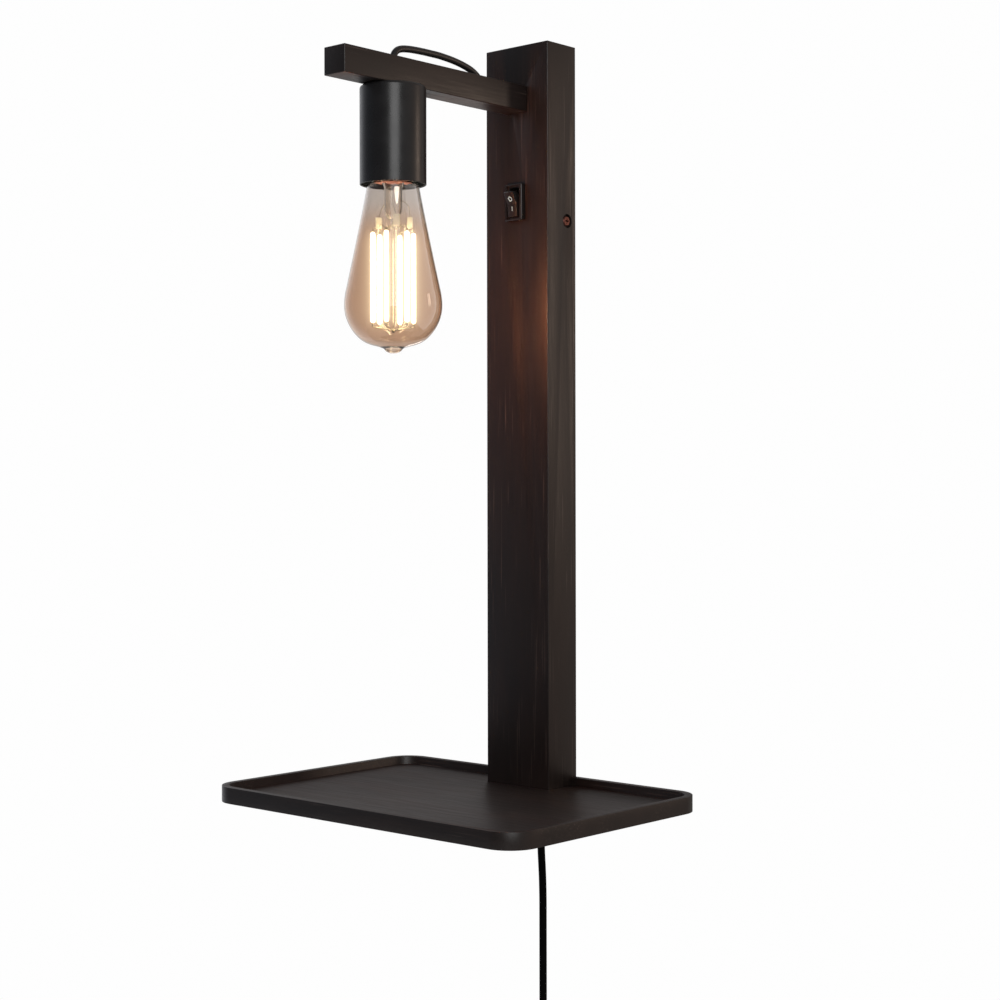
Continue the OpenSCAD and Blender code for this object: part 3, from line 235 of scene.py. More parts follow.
class Finish:
    """A material and short ways to feed its shader with procedural detail."""

    def __init__(self, name, colour, roughness, metallic=0.0, specular=0.5):
        self.material = bpy.data.materials.new(name)
        self.material.use_nodes = True
        self.tree = self.material.node_tree
        self.shader = self.tree.nodes["Principled BSDF"]
        self.set("Base Color", (*colour, 1))
        self.set("Roughness", roughness)
        self.set("Metallic", metallic)
        self.set("Specular IOR Level", specular)
        self.place = self.tree.nodes.new("ShaderNodeTexCoord").outputs["Object"]

    def set(self, socket, value):
        self.shader.inputs[socket].default_value = value

    def feed(self, socket, output):
        self.tree.links.new(output, self.shader.inputs[socket])

    def noise(self, per_mm, detail=3.0, roughness=0.55):
        """Noise with so many features in each millimetre along X, Y and Z."""
        scale = self.tree.nodes.new("ShaderNodeMapping")
        scale.inputs["Scale"].default_value = [f / MM for f in per_mm]
        self.tree.links.new(self.place, scale.inputs["Vector"])
        noise = self.tree.nodes.new("ShaderNodeTexNoise")
        noise.inputs["Scale"].default_value = 1.0
        noise.inputs["Detail"].default_value = detail
        noise.inputs["Roughness"].default_value = roughness
        self.tree.links.new(scale.outputs["Vector"], noise.inputs["Vector"])
        return noise.outputs["Fac"]

    def math(self, operation, a, b):
        node = self.tree.nodes.new("ShaderNodeMath")
        node.operation = operation
        for socket, value in zip(node.inputs, (a, b)):
            if isinstance(value, (int, float)):
                socket.default_value = value
            else:
                self.tree.links.new(value, socket)
        return node.outputs[0]

    def blend(self, a, b, share):
        """Two factors added up, with so large a share of the first."""
        return self.math("ADD", self.math("MULTIPLY", a, share),
            self.math("MULTIPLY", b, 1 - share))

    def spread(self, factor, low, high, to_low=0.0, to_high=1.0):
        """Stretches the part of a factor between low and high over another range."""
        node = self.tree.nodes.new("ShaderNodeMapRange")
        node.interpolation_type = "SMOOTHSTEP"
        values = {"From Min": low, "From Max": high, "To Min": to_low, "To Max": to_high}
        for socket, value in values.items():
            node.inputs[socket].default_value = value
        self.tree.links.new(factor, node.inputs["Value"])
        return node.outputs["Result"]

    def ramp(self, factor, *stops):
        """A colour for each factor, from (place, colour) stops."""
        node = self.tree.nodes.new("ShaderNodeValToRGB")
        elements = node.color_ramp.elements
        while len(elements) < len(stops):
            elements.new(0.5)
        for element, (place, colour) in zip(elements, stops):
            element.position = place
            element.color = (*colour, 1)
        self.tree.links.new(factor, node.inputs["Fac"])
        return node.outputs["Color"]

    def mixed(self, factor, colour, other):
        """A colour that turns into a fixed other one where the factor is high."""
        node = self.tree.nodes.new("ShaderNodeMix")
        node.data_type = "RGBA"
        self.tree.links.new(factor, node.inputs["Factor"])
        self.tree.links.new(colour, node.inputs["A"])
        node.inputs["B"].default_value = (*other, 1)
        return node.outputs["Result"]

    def bump(self, height, depth_mm, strength):
        """Feeds the shader's normal with a height of so many millimetres."""
        node = self.tree.nodes.new("ShaderNodeBump")
        node.inputs["Strength"].default_value = strength
        node.inputs["Distance"].default_value = depth_mm * MM
        self.tree.links.new(height, node.inputs["Height"])
        self.feed("Normal", node.outputs["Normal"])


# How much paler the clouds of a moulded surface are than the rest of it, and how much darker
# the dull patches of a metal
PALER = 1.35
LEAST_PALER = 0.002
DULLER = 0.7


def along(axis, across, lengthwise):
    """Features per millimetre of a grain that runs along one axis."""
    scale = [across, across, across]
    scale["XYZ".index(axis)] = lengthwise
    return scale


def stained_wood(name, axis, dark, light, roughness=0.4):
    """Lacquered dark stain with fibres, open pores, slow clouds and a few pale scratches."""
    finish = Finish(name, dark, roughness)
    fibre = finish.noise(along(axis, 1.3, 0.03), detail=4)
    cloud = finish.noise(along(axis, 0.035, 0.010), detail=2)
    pore = finish.noise(along(axis, 0.9, 0.02), detail=1)
    scratch = finish.noise(along(axis, 1.6, 0.018), detail=1, roughness=0.3)
    patch = finish.noise(along(axis, 0.03, 0.012), detail=1)
    tone = finish.blend(cloud, fibre, 0.6)
    middle = [0.6 * a + 0.4 * b for a, b in zip(dark, light)]
    stain = finish.ramp(tone, (0.38, dark), (0.52, middle), (0.66, light))
    worn = finish.math("MULTIPLY", finish.spread(scratch, 0.66, 0.74),
        finish.spread(patch, 0.44, 0.56))
    finish.feed("Base Color", finish.mixed(worn, stain, SCRATCHED))
    finish.feed("Roughness", finish.spread(fibre, 0.3, 0.7, roughness - 0.05, roughness + 0.08))
    pores = finish.spread(pore, 0.60, 0.68, 1.0, 0.0)
    finish.bump(finish.blend(fibre, pores, 0.6), 0.08, 0.4)
    return finish


def moulded(name, colour, roughness, grain_mm=0.25, depth_mm=0.012, specular=0.5):
    """Moulded plastic or lacquer with a fine even texture and slow gloss changes."""
    finish = Finish(name, colour, roughness, specular=specular)
    grain = finish.noise([1 / grain_mm] * 3, detail=2)
    slow = finish.noise([0.05] * 3, detail=2)
    lighter = [min(1, c * PALER + LEAST_PALER) for c in colour]
    finish.feed("Base Color", finish.ramp(slow, (0.3, colour), (0.75, lighter)))
    finish.feed("Roughness", finish.spread(slow, 0.3, 0.7, roughness - 0.04, roughness + 0.05))
    finish.bump(grain, depth_mm, 0.6)
    return finish


def plated(name, colour, roughness, brushed=(3, 3, 3)):
    """Bare or plated metal with fine handling marks."""
    finish = Finish(name, colour, roughness, metallic=1.0)
    marks = finish.noise(brushed, detail=4)
    dull = finish.noise([0.15] * 3, detail=3)
    darker = [c * DULLER for c in colour]
    finish.feed("Base Color", finish.ramp(dull, (0.35, darker), (0.6, colour)))
    finish.feed("Roughness", finish.spread(marks, 0.3, 0.7, roughness - 0.08, roughness + 0.12))
    finish.bump(marks, 0.01, 0.5)
    return finish


def tinted_glass(name, smoky, amber=None, neck_z=5, amber_z=-25):
    """Blown glass with faint waves, smoky from one height up and amber from another down."""
    finish = Finish(name, smoky, 0.0)
    finish.set("Transmission Weight", 1.0)
    finish.set("IOR", 1.45)
    if amber is not None:
        split = finish.tree.nodes.new("ShaderNodeSeparateXYZ")
        finish.tree.links.new(finish.place, split.inputs[0])
        height = finish.spread(split.outputs["Z"], amber_z * MM, neck_z * MM)
        finish.feed("Base Color", finish.ramp(height, (0, amber), (1, smoky)))
    waves = finish.noise([0.04] * 3, detail=1)
    finish.bump(waves, 0.2, 0.4)
    return finish


def glowing(name, colour, strength):
    """A lit filament: phosphor whose brightness varies a little along its length."""
    finish = Finish(name, colour, 0.5)
    beads = finish.noise([0.9] * 3, detail=1)
    finish.set("Emission Color", (*colour, 1))
    finish.feed("Emission Strength", finish.spread(beads, 0.3, 0.7, strength * 0.8, strength * 1.2))
    return finish


DARK_STAIN = (0.0095, 0.0062, 0.0052)
PALE_STAIN = (0.020, 0.0115, 0.0090)
SCRATCHED = (0.070, 0.052, 0.044)
post_wood = stained_wood("post_wood", "Z", DARK_STAIN, PALE_STAIN)
arm_wood = stained_wood("arm_wood", "Y", DARK_STAIN, PALE_STAIN)
tray_wood = stained_wood("tray_wood", "X", DARK_STAIN, PALE_STAIN)
cup_lacquer = moulded("cup_black", (0.012, 0.0115, 0.012), 0.30, grain_mm=0.6, depth_mm=0.006)
holder_plastic = moulded("holder_black", (0.012, 0.012, 0.012), 0.45)
switch_plastic = moulded("switch_black", (0.009, 0.0075, 0.0072), 0.28, depth_mm=0.008,
    specular=0.4)
mark_white = moulded("mark_white", (0.75, 0.73, 0.70), 0.4)
cable_sheath = moulded("cable_black", (0.012, 0.011, 0.011), 0.38, grain_mm=0.5)
cord_sheath = moulded("cord_black", (0.001, 0.001, 0.001), 0.6, grain_mm=0.5, specular=0.06)
relief_rubber = moulded("relief_black", (0.010, 0.010, 0.010), 0.55)
plug_plastic = moulded("plug_black", (0.010, 0.010, 0.010), 0.42)
tie_strap = moulded("tie_black", (0.014, 0.014, 0.014), 0.8, grain_mm=0.8, depth_mm=0.15)
white_plastic = moulded("block_white", (0.72, 0.70, 0.66), 0.45)
ceramic_white = moulded("insulator_white", (0.70, 0.67, 0.60), 0.35)
plunger_plastic = moulded("plunger_white", (0.72, 0.71, 0.68), 0.4)
core_plastic = moulded("core_plastic", (0.16, 0.06, 0.025), 0.4, grain_mm=0.4)
driver_board = moulded("driver_board", (0.09, 0.055, 0.02), 0.4)
black_glass = moulded("bulb_vitrite", (0.008, 0.008, 0.012), 0.1)
bracket_steel = plated("bracket_steel", (0.55, 0.55, 0.54), 0.35, brushed=(0.4, 4, 4))
screw_steel = plated("screw_steel", (0.56, 0.52, 0.40), 0.35)
screw_black = plated("screw_black", (0.13, 0.055, 0.045), 0.4)
tube_steel = plated("tube_steel", (0.58, 0.58, 0.57), 0.3)
contact_brass = plated("contact_brass", (0.70, 0.50, 0.22), 0.25)
cap_brass = plated("bulb_cap_brass", (0.72, 0.52, 0.26), 0.28)
solder = plated("bulb_solder", (0.62, 0.62, 0.60), 0.4)
spring_steel = plated("spring_steel", (0.60, 0.60, 0.60), 0.25)
wire_metal = plated("wire_metal", (0.72, 0.62, 0.50), 0.3)
pin_metal = plated("pin_metal", (0.66, 0.64, 0.60), 0.22, brushed=(1, 1, 6))
amber_glass = tinted_glass("bulb_glass_amber", (0.695, 0.645, 0.605), (0.72, 0.56, 0.445))
stem_glass = tinted_glass("stem_glass", (0.95, 0.91, 0.86))
filament_glow = glowing("filament", (0.92, 0.98, 0.77), 14.0)
tab_ivory = moulded("tab_ivory", (0.80, 0.72, 0.60), 0.5)
# The cement's deep red is partly its own colour and partly painted light: it stands in for the warm
# glow of the filaments falling on it
glow_tinted_cement = moulded("cap_cement", (0.60, 0.22, 0.16), 0.8, grain_mm=0.8, depth_mm=0.05)
# The exhaust tube is real glass, but its white emission is a painted highlight: it glows though it
# is no lamp
exhaust_painted_highlight = moulded("exhaust_glass_painted_highlight", (0.92, 0.91, 0.90), 0.25, grain_mm=0.8)
exhaust_painted_highlight.set("Emission Color", (1, 0.98, 0.96, 1))
exhaust_painted_highlight.set("Emission Strength", 1.2)

dress(screw_black, "tray_screws", "side_screws")
dress(screw_steel, "arm_screws", "block_screws", "clamp_screws")
dress(bracket_steel, "wall_bracket")
dress(tube_steel, "nipple", "nipple_nut")
dress(holder_plastic, "cable_bush", "holder_cap", "holder_body")
dress(ceramic_white, "holder_insulator")
dress(contact_brass, "screw_shell", "centre_contact", "holder_terminals", "switch_bridge",
    "switch_terminals")
dress(cap_brass, "bulb_cap")
dress(black_glass, "bulb_insulator")
dress(solder, "bulb_contact")
dress(driver_board, "bulb_driver")
dress(plunger_plastic, "switch_plunger")
dress(spring_steel, "switch_spring")
dress(white_plastic, "terminal_block", "cord_clamp")
dress(pin_metal, "plug_pins")


# ------------------------------------------------------------------ mains cord

CORD_D = 5.4
# The drop starts where the cord leaves the strain relief and ends at the hank's top
DROP = [(0, -5.4, -426), (0, -5.4, -432), (0, -5.2, -440), (0, -4.8, -448), (0, -4.2, -456),
    (0, -3.7, -464), (0, -3.4, -472), (0, -3.2, -482), (0, -3.2, -494), (0, -3.2, -506),
    (0, -3.2, -518), (0, -3.2, -530), (0, -3.2, -542), (0, -3.2, -555)]
# The hank: its turns, its straight run, the innermost fold's radius, and the steps from
# turn to turn, from the back layer to the front one and inward where the tie holds it
HANK_TURNS = 5
HANK_RUN = 97
HANK_FOLD = 16.2
HANK_STEP = 6.6
HANK_LAYER = 6
HANK_WAIST = 8
LOOP_RINGS = 24
QUARTER = 1 / 4
LAYER_TURNS = HANK_TURNS / 2
OUTER_FOLD = HANK_FOLD + HANK_STEP * LAYER_TURNS
BACK_STEP = 1
BACK_Y = DROP[-1][1] - BACK_STEP
FRONT_Y = BACK_Y - HANK_LAYER
# The bends that lead into the first fold and out of the last one, and the plug's place
LEAD_R = 24
JOIN_ANGLE = 40
TAIL_R = 24
TAIL_ANGLE = 10
PLUG_X = 57


def sine(degrees):
    return math.sin(math.radians(degrees))


def cosine(degrees):
    return math.cos(math.radians(degrees))


def smooth_step(t):
    c = min(max(t, 0), 1)
    return c * c * (3 - 2 * c)


def hank_radius(t):
    return OUTER_FOLD - HANK_STEP * min(t, HANK_TURNS + QUARTER - t)


def hank_place(t):
    """The place after t turns: a right run down, a fold, a left run up and a fold."""
    quarters = 4 * (t - math.floor(t))
    side = math.floor(quarters)
    s = quarters - side
    r = hank_radius(t)
    y = BACK_Y + (FRONT_Y - BACK_Y) * smooth_step((t - LAYER_TURNS) / QUARTER)
    z = HANK_RUN / 2 - s * HANK_RUN
    drawn_in = HANK_WAIST * (1 + cosine(360 * z / HANK_RUN)) / 2
    return ((r - drawn_in, y, z),
        (r * cosine(180 * s), y, -HANK_RUN / 2 - r * sine(180 * s)),
        (drawn_in - r, y, -z),
        (-r * cosine(180 * s), y, HANK_RUN / 2 + r * sine(180 * s)))[side]


def hank_route():
    """The hank from the drop's end to the plug."""
    join = Vector((cosine(JOIN_ANGLE), 0, -sine(JOIN_ANGLE)))
    line = (OUTER_FOLD * sine(JOIN_ANGLE) - LEAD_R * (1 - sine(JOIN_ANGLE))) / cosine(JOIN_ANGLE)
    start = Vector(DROP[-1]) - Vector((0, 0, CORD_D))
    lead = [start + LEAD_R * Vector((1 - cosine(a), 0, -sine(a)))
        for a in range(0, 91 - JOIN_ANGLE, 10)]
    rise = line * sine(JOIN_ANGLE) + OUTER_FOLD * cosine(JOIN_ANGLE) + HANK_RUN / 2
    middle = Vector((0, 0, lead[-1].z - rise))
    step = line * join + Vector((0, BACK_Y - lead[-1].y, 0))
    steps = [lead[-1] + k / 3 * step for k in (1, 2)]
    fold = [middle + Vector((OUTER_FOLD * sine(a), BACK_Y, HANK_RUN / 2 + OUTER_FOLD * cosine(a)))
        for a in (40, 52.5, 65, 77.5)]
    loops = [middle + Vector(hank_place(k / LOOP_RINGS))
        for k in range(int(LOOP_RINGS * (HANK_TURNS - QUARTER)) + 1)]

    def on_last_fold(a):
        r = hank_radius(HANK_TURNS - QUARTER + (a + 90) / 720)
        return middle + Vector((r * sine(a), FRONT_Y, HANK_RUN / 2 + r * cosine(a)))

    last = [on_last_fold(a) for a in range(-75, 1, 15)]
    leave = on_last_fold(TAIL_ANGLE)
    reach = (PLUG_X - leave.x - TAIL_R * (1 - sine(TAIL_ANGLE))) / cosine(TAIL_ANGLE)
    corner = leave + reach * Vector((cosine(TAIL_ANGLE), 0, -sine(TAIL_ANGLE)))
    from_corner = Vector((sine(TAIL_ANGLE), 0, cosine(TAIL_ANGLE)))
    tail = [corner + TAIL_R * (Vector((sine(a), 0, cosine(a))) - from_corner)
        for a in range(TAIL_ANGLE, 91, 16)]
    end = tail[-1] - Vector((0, 0, CORD_D))
    return lead + steps + fold + loops + last + [leave, (leave + corner) / 2] + tail + [end]


cord_points = smooth_route(DROP + hank_route(), 3)
cord = round_curve("mains_cord", [cord_points], CORD_D)
link(cord, cord_sheath, replaced=("cord_drop", "cord_hank"))

tie = mesh_object("hank_strap", softened("hank_tie", 0.3))
link(tie, tie_strap, replaced=("hank_tie",))
plug = mesh_object("plug_moulding", softened("plug_body", 0.9, segments=3))
link(plug, plug_plastic, replaced=("plug_body",))


# ------------------------------------------------------------------ held leads

CABLE_D = 4.6
CORE_D = 1.9
LAMP_CABLE = [(0, -153, 62), (0, -153, 72), (0, -153, 84), (0, -153, 92), (0, -152.6, 95.4),
    (0, -151, 98.6), (0, -148, 100.8), (0, -144, 102), (0, -138, 102.8), (0, -131, 103.2),
    (0, -124, 103.4), (0, -117, 103.4), (0, -110, 103.4), (0, -103, 103), (0, -96, 102.4),
    (0, -89, 101.4), (0, -83, 100.2), (0, -78, 98.8), (0, -74, 97), (0, -70.5, 94.7),
    (0, -66, 91.2), (0, -61.5, 87.6), (0, -57.5, 85.6), (0, -52, 85), (0, -42, 85), (0, -31, 85),
    (0, -24, 85), (0.2, -19, 84.8), (1.2, -15.8, 82.6), (2.6, -14.2, 78), (4.2, -13.3, 72),
    (6, -13, 66), (8.4, -13, 58), (10.6, -13, 50), (12, -13, 42), (12.4, -13, 34),
    (12.4, -13, 20), (12.4, -13, 5), (12.4, -13, -8), (11.4, -13, -18), (9.4, -13, -27),
    (7.4, -13, -35), (6.4, -13, -40), (6.4, -13, -45)]
INNER_CORD = [(0, -5.4, -426), (0, -5.4, -414), (0, -5.4, -402), (0, -5.4, -390), (0.6, -5.8, -378),
    (2.4, -8, -366), (5.2, -12.4, -354), (8, -16, -344), (9, -17.2, -336), (9, -17.2, -324),
    (8.4, -16.8, -314), (6.6, -15.4, -300), (4, -14.4, -284), (2, -14, -266), (0.8, -14, -246),
    (0, -14, -220), (0, -14, -190), (0, -14, -160), (0, -14, -130), (0, -14, -112)]
LIVE_CORES = [
    [(-1.2, -14, -111.8), (-1.3, -14, -106), (-2.4, -14, -99), (-3.6, -14, -93), (-4, -14, -87),
        (-4, -14, -78)],
    [(-4, -14, -72), (-4, -14, -62), (-5.2, -12.6, -52), (-7.4, -9.2, -40), (-8.6, -6.2, -26),
        (-8.6, -5, -10), (-7.4, -4.8, 3), (-4.6, -4.6, 9.8), (-1.8, -5, 12.8), (-1, -6.6, 13.2),
        (-1, -8.4, 13.2)],
    [(7.5, -13, -45.2), (7.6, -12.9, -48), (7.8, -10.8, -51.4), (7.6, -7.8, -51), (7.4, -6, -46),
        (7.4, -5.4, -36), (7.6, -5.2, -18), (7.6, -5, -2), (6.8, -4.8, 10), (4.4, -4.8, 17.4),
        (2, -5.2, 20), (1, -6.6, 20.2), (1, -8.4, 20.2)],
    [(1.1, -153, 61.8), (1.2, -153, 60), (4, -153, 58), (8, -153, 57.2), (10.6, -153, 55.6),
        (11, -153, 53.4), (11, -153, 49)]]
NEUTRAL_CORES = [
    [(1.2, -14, -111.8), (1.3, -14, -106), (2.4, -14, -99), (3.6, -14, -93), (4, -14, -87),
        (4, -14, -78)],
    [(5.3, -13, -45.2), (5.2, -13, -49), (4.6, -13.6, -55), (4, -14, -61), (4, -14, -72)],
    [(-1.1, -153, 61.8), (-1.2, -153, 60), (-4, -153, 58), (-8, -153, 57.2), (-10.6, -153, 55.6),
        (-11, -153, 53.4), (-11, -153, 49)]]


def add_lead(name, routes, diameter, finish, slot, *replaced):
    lead = round_curve(name, [smooth_route(route, 3) for route in routes], diameter)
    link(lead, finish, replaced=replaced)


core_blue = moulded("core_blue", (0.02, 0.07, 0.22), 0.4, grain_mm=0.4)
add_lead("lamp_lead", [LAMP_CABLE], CABLE_D, cable_sheath, "cable_black", "lamp_cable")
add_lead("mains_cord_inside", [INNER_CORD], CORD_D, cord_sheath, "cord_black", "inner_cord")
add_lead("live_cores", LIVE_CORES, CORE_D, core_plastic, "core_plastic", "cores")
add_lead("neutral_cores", NEUTRAL_CORES, CORE_D, core_blue, "core_plastic")


# ------------------------------------------------------------------ wooden pieces, cup and fittings


def soften(name, node, width, finish, body=ROOT):
    """Replaces a node by a copy of it with rounded edges."""
    link(mesh_object(name, softened(node, width)), finish, body, (node,))


soften("post_stained", "post", 0.3, post_wood)
soften("arm_stained", "arm", 0.3, arm_wood)
soften("tray_stained", "tray", 0.45, tray_wood)
soften("switch_frame", "switch_housing", 0.25, switch_plastic)
soften("switch_key", "switch_rocker", 0.25, switch_plastic, "rocker")
soften("terminal_moulding", "terminal_block", 0.3, white_plastic)
soften("clamp_moulding", "cord_clamp", 0.3, white_plastic)

cup_low, cup_high = [Vector(corner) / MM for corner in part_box("lamp_cup")]
LAMP_AXIS = ((cup_low.x + cup_high.x) / 2, (cup_low.y + cup_high.y) / 2)
CUP_R = (cup_high.x - cup_low.x) / 2
CUP_WALL = 0.9
CUP_EDGE = 2.2
CUP_HOLE_R = 5.15
HOLE_EDGE = 0.2

# The strain relief: its rounded edges, the lips above and below the shelf's floor, the neck
# between them, and the walls of its tail and of its bore
RELIEF_EDGE = 0.3
UPPER_LIP = 1
LOWER_LIP = 1.1
NECK_IN = 0.95
TAIL_WALL = 0.6
BORE_GAP = 0.02
RIBS = 6
GROOVE = 0.7
# The heights of one rib and of the groove under it, in shares of a rib's length
RIB_END, GROOVE_TOP, GROOVE_END = 0.6, 0.68, 0.98


def add_cup():
    lip = CUP_WALL / 2
    shoulder = (CUP_R - CUP_EDGE, cup_high.z - CUP_EDGE)
    profile = arc((CUP_R - lip, cup_low.z + lip), lip, 180, 360, 8)
    profile += arc(shoulder, CUP_EDGE, 0, 90, 8)
    profile += [(CUP_HOLE_R + HOLE_EDGE, cup_high.z), (CUP_HOLE_R, cup_high.z - HOLE_EDGE),
        (CUP_HOLE_R, cup_high.z - CUP_WALL)]
    profile += arc(shoulder, CUP_EDGE - CUP_WALL, 90, 0, 6)
    bm = bmesh.new()
    add_lathe(bm, profile, LAMP_AXIS, 128)
    link(mesh_object("cup_turned", bm), cup_lacquer, replaced=("lamp_cup",))


def add_strain_relief():
    """The sleeve in the shelf's floor, with grooves round its tapered tail."""
    low, high = [Vector(corner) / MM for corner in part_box("strain_relief")]
    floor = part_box("tray")[0][2] / MM
    lip_r = (high.x - low.x) / 2
    neck_r = lip_r - NECK_IN
    tail_r = CORD_D / 2 + TAIL_WALL
    bore = CORD_D / 2 + BORE_GAP
    tail_top = floor - LOWER_LIP
    profile = [(bore, high.z), (lip_r - RELIEF_EDGE, high.z), (lip_r, high.z - RELIEF_EDGE),
        (lip_r - 0.2, high.z - UPPER_LIP), (neck_r, high.z - UPPER_LIP), (neck_r, floor),
        (lip_r, floor), (lip_r, tail_top + RELIEF_EDGE), (lip_r - RELIEF_EDGE, tail_top)]
    rib = (tail_top - low.z) / RIBS
    for k in range(RIBS):
        top = tail_top - k * rib
        outer = neck_r + (tail_r - neck_r) * (k + 0.5) / RIBS
        root = max(outer - GROOVE, bore + 0.25)
        profile += [(outer, top - 0.15), (outer, top - rib * RIB_END),
            (root, top - rib * GROOVE_TOP), (root, top - rib * GROOVE_END)]
    profile[-1] = (profile[-1][0], low.z)
    profile += [(bore, low.z)]
    bm = bmesh.new()
    add_lathe(bm, profile, (0, DROP[0][1]), 64)
    link(mesh_object("cord_sleeve", bm), relief_rubber,
        replaced=("strain_relief",))


add_cup()
add_strain_relief()


# ------------------------------------------------------------------ switch marks

# How far the rocker is tipped at rest, its pivot, and each face from its ridge to its end,
# given outward and up from the pivot before the tilt
ROCKER_TILT = 17
PIVOT = Vector((0, -31.3, 13.2))
RIDGE, FACE_END = Vector((4.7, 1.2)), Vector((6.3, 8.4))
MARK_PROUD = 0.06


def on_rocker(x, out, up):
    """A place given from the rocker's pivot: to the right, outward and upward."""
    return PIVOT + turn(ROCKER_TILT, "X") @ Vector((x, -out, up))


def add_mark(name, outline_out, outline_in, face):
    """A flat printed mark on one of the rocker's two faces."""
    bm = bmesh.new()
    rings = []
    for rise in (MARK_PROUD, -MARK_PROUD):
        for outline in (outline_out, outline_in):
            rings.append([bm.verts.new(face(x, u, rise) * MM) for x, u in outline])
    count = len(outline_out)
    for a, b in ((0, 1), (1, 3), (3, 2), (2, 0)):
        for k in range(count):
            after = (k + 1) % count
            bm.faces.new((rings[a][k], rings[a][after], rings[b][after], rings[b][k]))
    link(mesh_object(name, bm), mark_white, "rocker")


def rocker_face(side):
    """Places on the upper or lower face: to the right, along the face and above it."""
    slope = (FACE_END - RIDGE).normalized()

    def place(x, along_face, rise):
        p = RIDGE + along_face * slope + rise * Vector((slope.y, -slope.x))
        return on_rocker(x, p.x, side * p.y)

    return place


MARK_STROKE = 0.8
RING_R = 1.75
RING_UP = 2.5
BAR_FROM, BAR_TO = 0.5, 3.7
HALF_STROKE = 0.25
# The bar is drawn as an outline round a slit that is too thin to see
SLIT = 0.01
SLIT_END = 0.1


def rectangle(left, right, low, high):
    return [(left, low), (right, low), (right, high), (left, high)]


ring_out = arc((0, RING_UP), RING_R, 0, 360, 32)[:-1]
ring_in = arc((0, RING_UP), RING_R - MARK_STROKE, 0, 360, 32)[:-1]
add_mark("mark_off", ring_out, ring_in, rocker_face(1))
bar_out = rectangle(-HALF_STROKE, HALF_STROKE, BAR_FROM, BAR_TO)
bar_in = rectangle(0, SLIT, BAR_FROM + SLIT_END, BAR_TO - SLIT_END)
add_mark("mark_on", bar_out, bar_in, rocker_face(-1))


# ------------------------------------------------------------------ bulb

# The glass: a neck in the cap's rim, a nearly straight cone down to the shoulder, and a belly
BULB_R = 32.0
CAP_RIM = 14.5
NECK_R = 12.5
# The turn from neck to cone: outward from the neck and up from the cap's rim
NECK_TURN = [(0, 1.2), (0, -0.2), (0.5, -0.9), (2, -1.6)]
CONE_TOP = (16.9, CAP_RIM - 3)
SHOULDER = (BULB_R - 0.75, -59.1)
CONE_BEND = 1.06
CONE_STEPS = 24
ABOVE_BELLY = (-0.15, 3.5)
BELLY_Z = -67.1
BELLY_DROP = 29.8
# The belly is an ellipse down to here, in degrees, where the tip's curve takes over
BELLY_END = 48
BELLY_STEP = 4
GLASS_T = 0.7
# Inside this radius the tip is solid glass
SOLID_TIP_R = 7.9
# The tip: a short hollow curve from the round bottom into the sealed nub
TIP = [(18.2, -91.3), (14.6, -92.7), (10.8, -93.7), (7.9, -94.6), (6.2, -95.4), (5.4, -96.4),
    (4.1, -97.5), (2.3, -98.2), (0, -98.5)]


def glass_outline():
    """The outside of the glass, from its neck down to its tip."""
    outline = [(NECK_R + out, CAP_RIM + up) for out, up in NECK_TURN]
    for k in range(CONE_STEPS + 1):
        s = k / CONE_STEPS
        outline.append((CONE_TOP[0] + (SHOULDER[0] - CONE_TOP[0]) * s ** CONE_BEND,
            CONE_TOP[1] + (SHOULDER[1] - CONE_TOP[1]) * s))
    outline.append((BULB_R + ABOVE_BELLY[0], BELLY_Z + ABOVE_BELLY[1]))
    outline += [(BULB_R * cosine(a), BELLY_Z - BELLY_DROP * sine(a))
        for a in range(0, BELLY_END + 1, BELLY_STEP)]
    points = smooth_route([(r, 0, z) for r, z in outline + TIP], 3)
    return [(p.x, p.z) for p in points]


def add_glass():
    outer = glass_outline()
    inner = []
    for i, (r, z) in enumerate(outer):
        if r < SOLID_TIP_R:
            break
        before, after = outer[max(i - 1, 0)], outer[i + 1]
        run = Vector((after[0] - before[0], after[1] - before[1])).normalized()
        inner.append((r + run.y * GLASS_T, z - run.x * GLASS_T))
    inner.append((0, inner[-1][1] - 0.2))
    bm = bmesh.new()
    add_lathe(bm, outer + inner[::-1], LAMP_AXIS, 128)
    link(mesh_object("bulb_envelope", bm, 60), amber_glass, "bulb",
        ("bulb_glass",))


STEM_R = 6.0
STEM_T = 1.0
STEM_ROUND = 10
STEM_FOOT_R = 2.0
STEM_GAP = 0.1
STEM_END = -12.5
STEM_TOP = 15.6
# The stem's flare: outward from its side and up from the cap's rim
FLARE = [(0, -5), (0.7, -2.6), (2.4, -0.9)]
# The filaments stand on a ring, the first of them so many degrees round the axis
PHASE = 56
RING_RADIUS = 13.5
FILAMENTS = 6
FILAMENT_D = 2.8
FILAMENT_TOP = CAP_RIM - 34.2
FILAMENT_LEN = 59
FILAMENT_FOOT = FILAMENT_TOP - FILAMENT_LEN


def add_stem():
    """A glass tube with a flare at the neck and a rounded lower end."""
    flare_r = NECK_R - GLASS_T - STEM_GAP

    def side(t):
        round_end = [((STEM_R - t) * sine(a), STEM_END + t + STEM_ROUND * (1 - cosine(a)))
            for a in range(24, 91, 6)]
        return round_end + [(STEM_R + out - t, CAP_RIM + up) for out, up in FLARE]

    outer = [(0, STEM_END), (STEM_FOOT_R, STEM_END + 0.25)] + side(0)
    outer += [(flare_r, CAP_RIM + 0.5), (flare_r, STEM_TOP)]
    inner = [(0, STEM_END + STEM_T + 0.9)] + side(STEM_T) + [(flare_r - STEM_T, STEM_TOP)]
    bm = bmesh.new()
    add_lathe(bm, outer + inner[::-1], LAMP_AXIS, 64)
    link(mesh_object("bulb_stem_tube", bm, 60), stem_glass, "bulb",
        ("bulb_stem",))


def filament_ends():
    """Each filament's direction from the axis, and its lower and upper end."""
    for k in range(FILAMENTS):
        a = PHASE + 360 * k / FILAMENTS
        yield a, on_ring(a, RING_RADIUS, FILAMENT_FOOT), on_ring(a, RING_RADIUS, FILAMENT_TOP)


